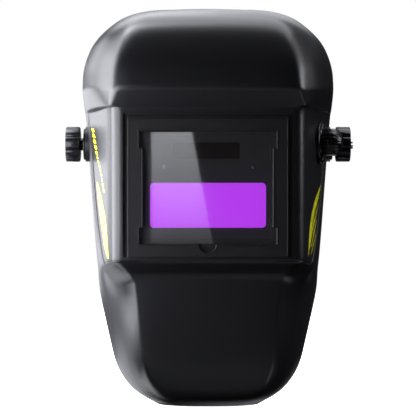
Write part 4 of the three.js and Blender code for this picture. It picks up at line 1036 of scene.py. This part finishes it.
# Ratchet knob at the nape, with a raised rim round a sunk face.
WHEEL_R, WHEEL_BORE, WHEEL_LOW, WHEEL_HIGH = 14.5, 3.3, 109.8, 121.8
rings = [
    (WHEEL_BORE, WHEEL_LOW, 0), (WHEEL_R - 0.9, WHEEL_LOW, 1.6), (WHEEL_R, WHEEL_LOW + 0.9, 1.8),
    (WHEEL_R, WHEEL_HIGH - 1.6, 1.8), (WHEEL_R - 0.4, WHEEL_HIGH - 0.5, 1.7),
    (WHEEL_R - 1.3, WHEEL_HIGH, 1.4), (10.6, WHEEL_HIGH, 0.2), (10.0, WHEEL_HIGH - 0.7, 0),
    (8.8, WHEEL_HIGH - 0.9, 0), (WHEEL_BORE, WHEEL_HIGH - 0.9, 0), (WHEEL_BORE, WHEEL_HIGH - 5.6, 0),
]
wheel = ring_solid("ratchet_wheel", rings, lobes=10, per_lobe=14, sharp=1.8)
place(wheel, HEADBAND @ along((0, 1, 0)))
finish_piece(wheel, "ratchet_knob", "ratchet_knob", KNOB)

# ------------------------------------------------------------------ padded pieces


PAD_SIDES, PAD_STEPS, PAD_POWER = 24, 48, 0.55      # a lower power gives a squarer section
PAD_SHRINK, PAD_SWELL, PAD_VOXEL = 0.9, 0.9 * MM, 2.2 * MM


def pad_mesh(name, start, end, inner, outer, half_h):
    """A soft strip's starting shape: a rounded section that narrows towards both ends."""
    def section_at(t):
        end_share = min(t, 1 - t) * PAD_STEPS / 5
        ease = math.sqrt(max(0.0, 1 - (1 - min(end_share, 1.0)) ** 2)) * 0.8 + 0.2
        made = []
        for k in range(PAD_SIDES):
            angle = 2 * math.pi * k / PAD_SIDES
            c, w = math.cos(angle), math.sin(angle)
            x = math.copysign(abs(c) ** PAD_POWER, c) * ((outer - inner) / 2 - PAD_SHRINK)
            z = math.copysign(abs(w) ** PAD_POWER, w) * (half_h - PAD_SHRINK) * ease
            made.append(((inner + outer) / 2 + x * (0.6 + 0.4 * ease), z))
        return made

    edge = PAD_SHRINK / BAND_A
    return swept(name, start + edge, end - edge, section_at(0.5), PAD_STEPS, section_at)


def puff(piece, voxel, cap):
    """Cloth swells the pad, no point moving further than the cap; then it is smoothed once."""
    modify(piece, "REMESH", mode="VOXEL", voxel_size=voxel)
    apply_modifiers(piece)
    rest = np.array([v.co for v in piece.data.vertices])
    cloth = modify(piece, "CLOTH")
    cloth.settings.quality = 6
    cloth.settings.mass = 0.2
    cloth.settings.use_pressure = True
    cloth.settings.uniform_pressure_force = 4.0
    cloth.settings.effector_weights.gravity = 0.0
    scene = bpy.context.scene
    for number in range(1, 21):
        scene.frame_set(number)
    depsgraph = bpy.context.evaluated_depsgraph_get()
    made = piece.evaluated_get(depsgraph).to_mesh()
    moved = np.array([v.co for v in made.vertices])
    piece.evaluated_get(depsgraph).to_mesh_clear()
    piece.modifiers.clear()
    shift = moved - rest
    length = np.linalg.norm(shift, axis=1, keepdims=True)
    shift *= np.minimum(1.0, cap / np.maximum(length, 1e-9))
    piece.data.vertices.foreach_set("co", (rest + shift).ravel())
    piece.data.update()
    scene.frame_set(1)
    modify(piece, "SMOOTH", factor=0.5, iterations=4)
    modify(piece, "SUBSURF", levels=1, render_levels=1)
    apply_modifiers(piece)


STITCH_FROM_EDGE = 3.2


def stitches(name, start, end, offset, z, count, body):
    """A row of thread stitches along the pad, sunk half-way into it."""
    meshes = []
    for i in range(count):
        a = start + (end - start) * (i + 0.2) / count
        b = start + (end - start) * (i + 0.8) / count
        first, last = (HEADBAND @ band_at(angle, offset, z) for angle in (a, b))
        axis = last - first
        profile = [(0.12, 0), (0.3, 0.15), (0.3, 0.85), (0.12, 1)]
        rings = [(radius, axis.length / MM * share, 0) for radius, share in profile]
        thread = ring_solid("thread", rings, count=8)
        thread.data.transform(along(axis, first))
        meshes.append(thread.data)
        bpy.data.objects.remove(thread)
    piece = merge(name, meshes, STITCH)
    return finish_piece(piece, body)


def padded_band(name, node, body, start, end, inner, outer, half_h, stitch_count):
    pad = pad_mesh(name, start, end, inner, outer, half_h)
    puff(pad, PAD_VOXEL, PAD_SWELL)
    place(pad, HEADBAND)
    finish_piece(pad, body, node, TOWEL, angle=60.0)
    z = half_h - STITCH_FROM_EDGE
    for row, height in (("low", -z), ("high", z)):
        stitches(f"{name}_stitch_{row}", start + 0.06, end - 0.06, inner + 0.5, height, stitch_count, body)


sweat = math.radians(56)
padded_band("brow_pad", "sweatband", "headgear", -sweat, sweat, -8.0, -1.1, 14.5, 52)
padded_band("nape_cushion", "nape_pad", "ratchet", math.pi - 0.4, math.pi + 0.4, -11.3, -5.6, 16.0, 22)

# ------------------------------------------------------------------ CAD pieces that stay


def smoothing_group(angle):
    """Geometry nodes that shade a mesh smooth and keep edges sharper than the angle crisp."""
    group = bpy.data.node_groups.new("shade_by_angle", "GeometryNodeTree")
    group.interface.new_socket("Geometry", in_out="INPUT", socket_type="NodeSocketGeometry")
    group.interface.new_socket("Geometry", in_out="OUTPUT", socket_type="NodeSocketGeometry")
    add, link = group.nodes.new, group.links.new
    source, sink = add("NodeGroupInput"), add("NodeGroupOutput")
    faces, edges = add("GeometryNodeSetShadeSmooth"), add("GeometryNodeSetShadeSmooth")
    faces.domain, edges.domain = "FACE", "EDGE"
    bend, above = add("GeometryNodeInputMeshEdgeAngle"), add("FunctionNodeCompare")
    above.data_type, above.operation = "FLOAT", "GREATER_THAN"
    above.inputs["B"].default_value = angle
    link(bend.outputs["Unsigned Angle"], above.inputs["A"])
    link(source.outputs["Geometry"], faces.inputs["Geometry"])
    link(faces.outputs["Geometry"], edges.inputs["Geometry"])
    link(above.outputs["Result"], edges.inputs["Selection"])
    edges.inputs["Shade Smooth"].default_value = False
    link(edges.outputs["Geometry"], sink.inputs["Geometry"])
    return group


SHADE_BY_ANGLE = smoothing_group(math.radians(28))
# How far a node's edges are rounded, in millimetres.
EASED_ELSEWHERE = 0.25
EASED = {"front_frame": 0.6, "front_cover_lens": 0.1, "cartridge_front_case": 0.15,
         "cartridge_back_case": 0.3, "cartridge_retainer": 0.5, "filter_glass": 0.1}
STAND_INS = {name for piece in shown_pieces() for name in piece.get("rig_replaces", [])}
for name, node in frame["nodes"].items():
    if name in STAND_INS:
        continue
    node.data.materials.clear()
    node.data.materials.append(finish_of(name))
    modify(node, "WELD", merge_threshold=0.005 * MM)
    modify(node, "BEVEL", width=EASED.get(name, EASED_ELSEWHERE) * MM, segments=2, limit_method="ANGLE",
           angle_limit=math.radians(40), harden_normals=False, miter_outer="MITER_ARC")
    node.modifiers.new("shade", "NODES").node_group = SHADE_BY_ANGLE
    modify(node, "WEIGHTED_NORMAL", keep_sharp=True)

# ------------------------------------------------------------------ camera, light and floor
FLOOR_Z, FLOOR_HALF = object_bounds()[0].z, 8.0
camera = add_object("camera", bpy.data.cameras.new("camera"))
bpy.context.scene.camera = camera
DISTANCE, VIEW_WIDTH, EYE_HEIGHT = 1.8, 0.3461, -0.053
camera.data.sensor_width = 36.0
camera.data.lens = camera.data.sensor_width * DISTANCE / VIEW_WIDTH
camera.location = (0, -DISTANCE, EYE_HEIGHT)
camera.rotation_euler = (math.pi / 2, 0, 0)
camera.data.clip_end = 50.0


def staged(piece, camera_sees=False):
    piece.visible_camera = camera_sees
    return piece


LIGHT_TINT = (0.93, 0.94, 1.0, 1.0)


def glow(name, strength, low_share=1.0):
    """Plain light from a card, fading down the card to a share of the strength."""
    n = Nodes(name)
    generated = n.add("ShaderNodeTexCoord").outputs["Generated"]
    place_on = n.add("ShaderNodeSeparateXYZ", {"Vector": generated})
    fade = n.span(place_on.outputs["Z"], 0.0, 1.0, strength * low_share, strength)
    emit = n.add("ShaderNodeEmission", {"Color": LIGHT_TINT, "Strength": fade})
    n.surface(emit)
    return n.material


def card(name, corners, strength, low_share):
    """A four-cornered card of light, its corners in metres."""
    return staged(mesh_object(name, corners, [(0, 1, 2, 3)], [glow(name, strength, low_share)]))


STUDIO_CENTRE = Vector((0, 0, EYE_HEIGHT))


def softbox(name, turn, rise, strength, radius=1.6):
    """A curved softbox on a sphere round the object. It spans two angles round the object,
    counted from the camera's side towards the image's left, and two angles above the horizon."""
    points, faces, steps = [], [], 6
    for up in np.radians(np.linspace(*rise, steps + 1)):
        for angle in np.radians(np.linspace(*turn, steps + 1)):
            ray = Vector((-math.sin(angle) * math.cos(up), -math.cos(angle) * math.cos(up), math.sin(up)))
            points.append(STUDIO_CENTRE + ray * radius)
    for j in range(steps):
        for i in range(steps):
            k = j * (steps + 1) + i
            faces.append((k, k + 1, k + steps + 2, k + steps + 1))
    return staged(mesh_object(name, points, faces, [glow(name, strength)]))


softbox("near_left_front", (30, 60), (-20, 20), 8, radius=0.30)
softbox("near_left_side", (60, 90), (-20, 20), 12, radius=0.30)
softbox("left_upright", (90, 118), (-12, 2), 7)
softbox("left_shoulder", (120, 150), (8, 28), 3.0)
softbox("near_left_quarter", (118, 150), (-12, 14), 2.9, radius=0.45)
softbox("near_left_rear", (150, 162), (-13, 14), 0.85, radius=0.45)
softbox("left_front_level", (20, 45), (-12, 2), 4.7)
softbox("left_low", (70, 135), (-70, -35), 3.0)
softbox("left_tall", (90, 105), (2, 50), 10.5)
softbox("left_slot", (105, 120), (2, 28), 8)
softbox("left_high_rear", (105, 120), (28, 50), 4)
softbox("left_rear_low", (120, 172), (-35, -12), 1.5)
softbox("rear_high_left", (150, 180), (28, 50), 3.5)
softbox("rear_high_right", (-160, -180), (20, 50), 1.7)
softbox("rear_low_right", (-160, -180), (-70, -12), 0.5)
softbox("right_slot", (-75, -100), (6, 20), 7)
softbox("right_high", (-85, -100), (20, 50), 2.5)
softbox("right_front_high", (-60, -85), (20, 50), 0.8)
softbox("right_front_low", (-60, -95), (-55, -30), 1)
softbox("right_rear_high", (-115, -160), (20, 50), 0.15)
softbox("front_low_fill", (-60, 20), (-70, -20), 0.25)
softbox("overhead_left_front", (45, 90), (50, 90), 5)
softbox("overhead_left_rear", (90, 135), (50, 90), 12)
softbox("overhead_rear", (135, 225), (50, 90), 3.1)
softbox("overhead_right", (225, 315), (50, 90), 3.2)

# The reflection in the cover lens: a slanted bank of light behind the camera.
MIRROR_SCALE = 2.237                    # from the lens out to the card and back to the camera
BANK_Y = -2.2
WEDGE_EDGE, WEDGE_FOOT, WEDGE_TOP = -44.2 * MM, 3.9 * MM, -12.6 * MM
top, foot = lens_high.z - 1.0 * MM, lens_low.z + 1.0 * MM
wedge = [(WEDGE_EDGE, foot), (WEDGE_FOOT, foot), (WEDGE_TOP, top), (WEDGE_EDGE, top)]
bank = [(x * MIRROR_SCALE, BANK_Y, EYE_HEIGHT + (z - EYE_HEIGHT) * MIRROR_SCALE) for x, z in wedge]
card("window_bank", bank, 3.2, 0.12)

corners = ((-1, -1), (1, -1), (1, 1), (-1, 1))
floor_corners = [(x * FLOOR_HALF, y * FLOOR_HALF, FLOOR_Z) for x, y in corners]
floor = mesh_object("floor", floor_corners, [(0, 1, 2, 3)])
floor_look = Nodes("floor_pale")
floor_look.link(floor_look.blend(floor_look.noise(3.0), (0.80, 0.80, 0.80), (0.84, 0.84, 0.84)), "Base Color")
floor_look.shader.inputs["Roughness"].default_value = 0.9
floor_look.shader.inputs["Emission Color"].default_value = (1, 1, 1, 1)
floor_look.shader.inputs["Emission Strength"].default_value = 1.0
floor.data.materials.append(floor_look.material)
staged(floor, camera_sees=True)
floor.visible_glossy = False
floor.visible_diffuse = False

world = bpy.data.worlds.new("studio")
bpy.context.scene.world = world
world.use_nodes = True
tree = world.node_tree
tree.nodes.clear()
room = tree.nodes.new("ShaderNodeBackground")
room.inputs["Color"].default_value = (0.01, 0.01, 0.01, 1)
backdrop = tree.nodes.new("ShaderNodeBackground")
backdrop.inputs["Color"].default_value = (1, 1, 1, 1)
rays, choose, out = (tree.nodes.new(kind) for kind in (
    "ShaderNodeLightPath", "ShaderNodeMixShader", "ShaderNodeOutputWorld"))
tree.links.new(rays.outputs["Is Camera Ray"], choose.inputs[0])
tree.links.new(room.outputs[0], choose.inputs[1])
tree.links.new(backdrop.outputs[0], choose.inputs[2])
tree.links.new(choose.outputs[0], out.inputs["Surface"])
bpy.context.scene.view_settings.view_transform = "Standard"
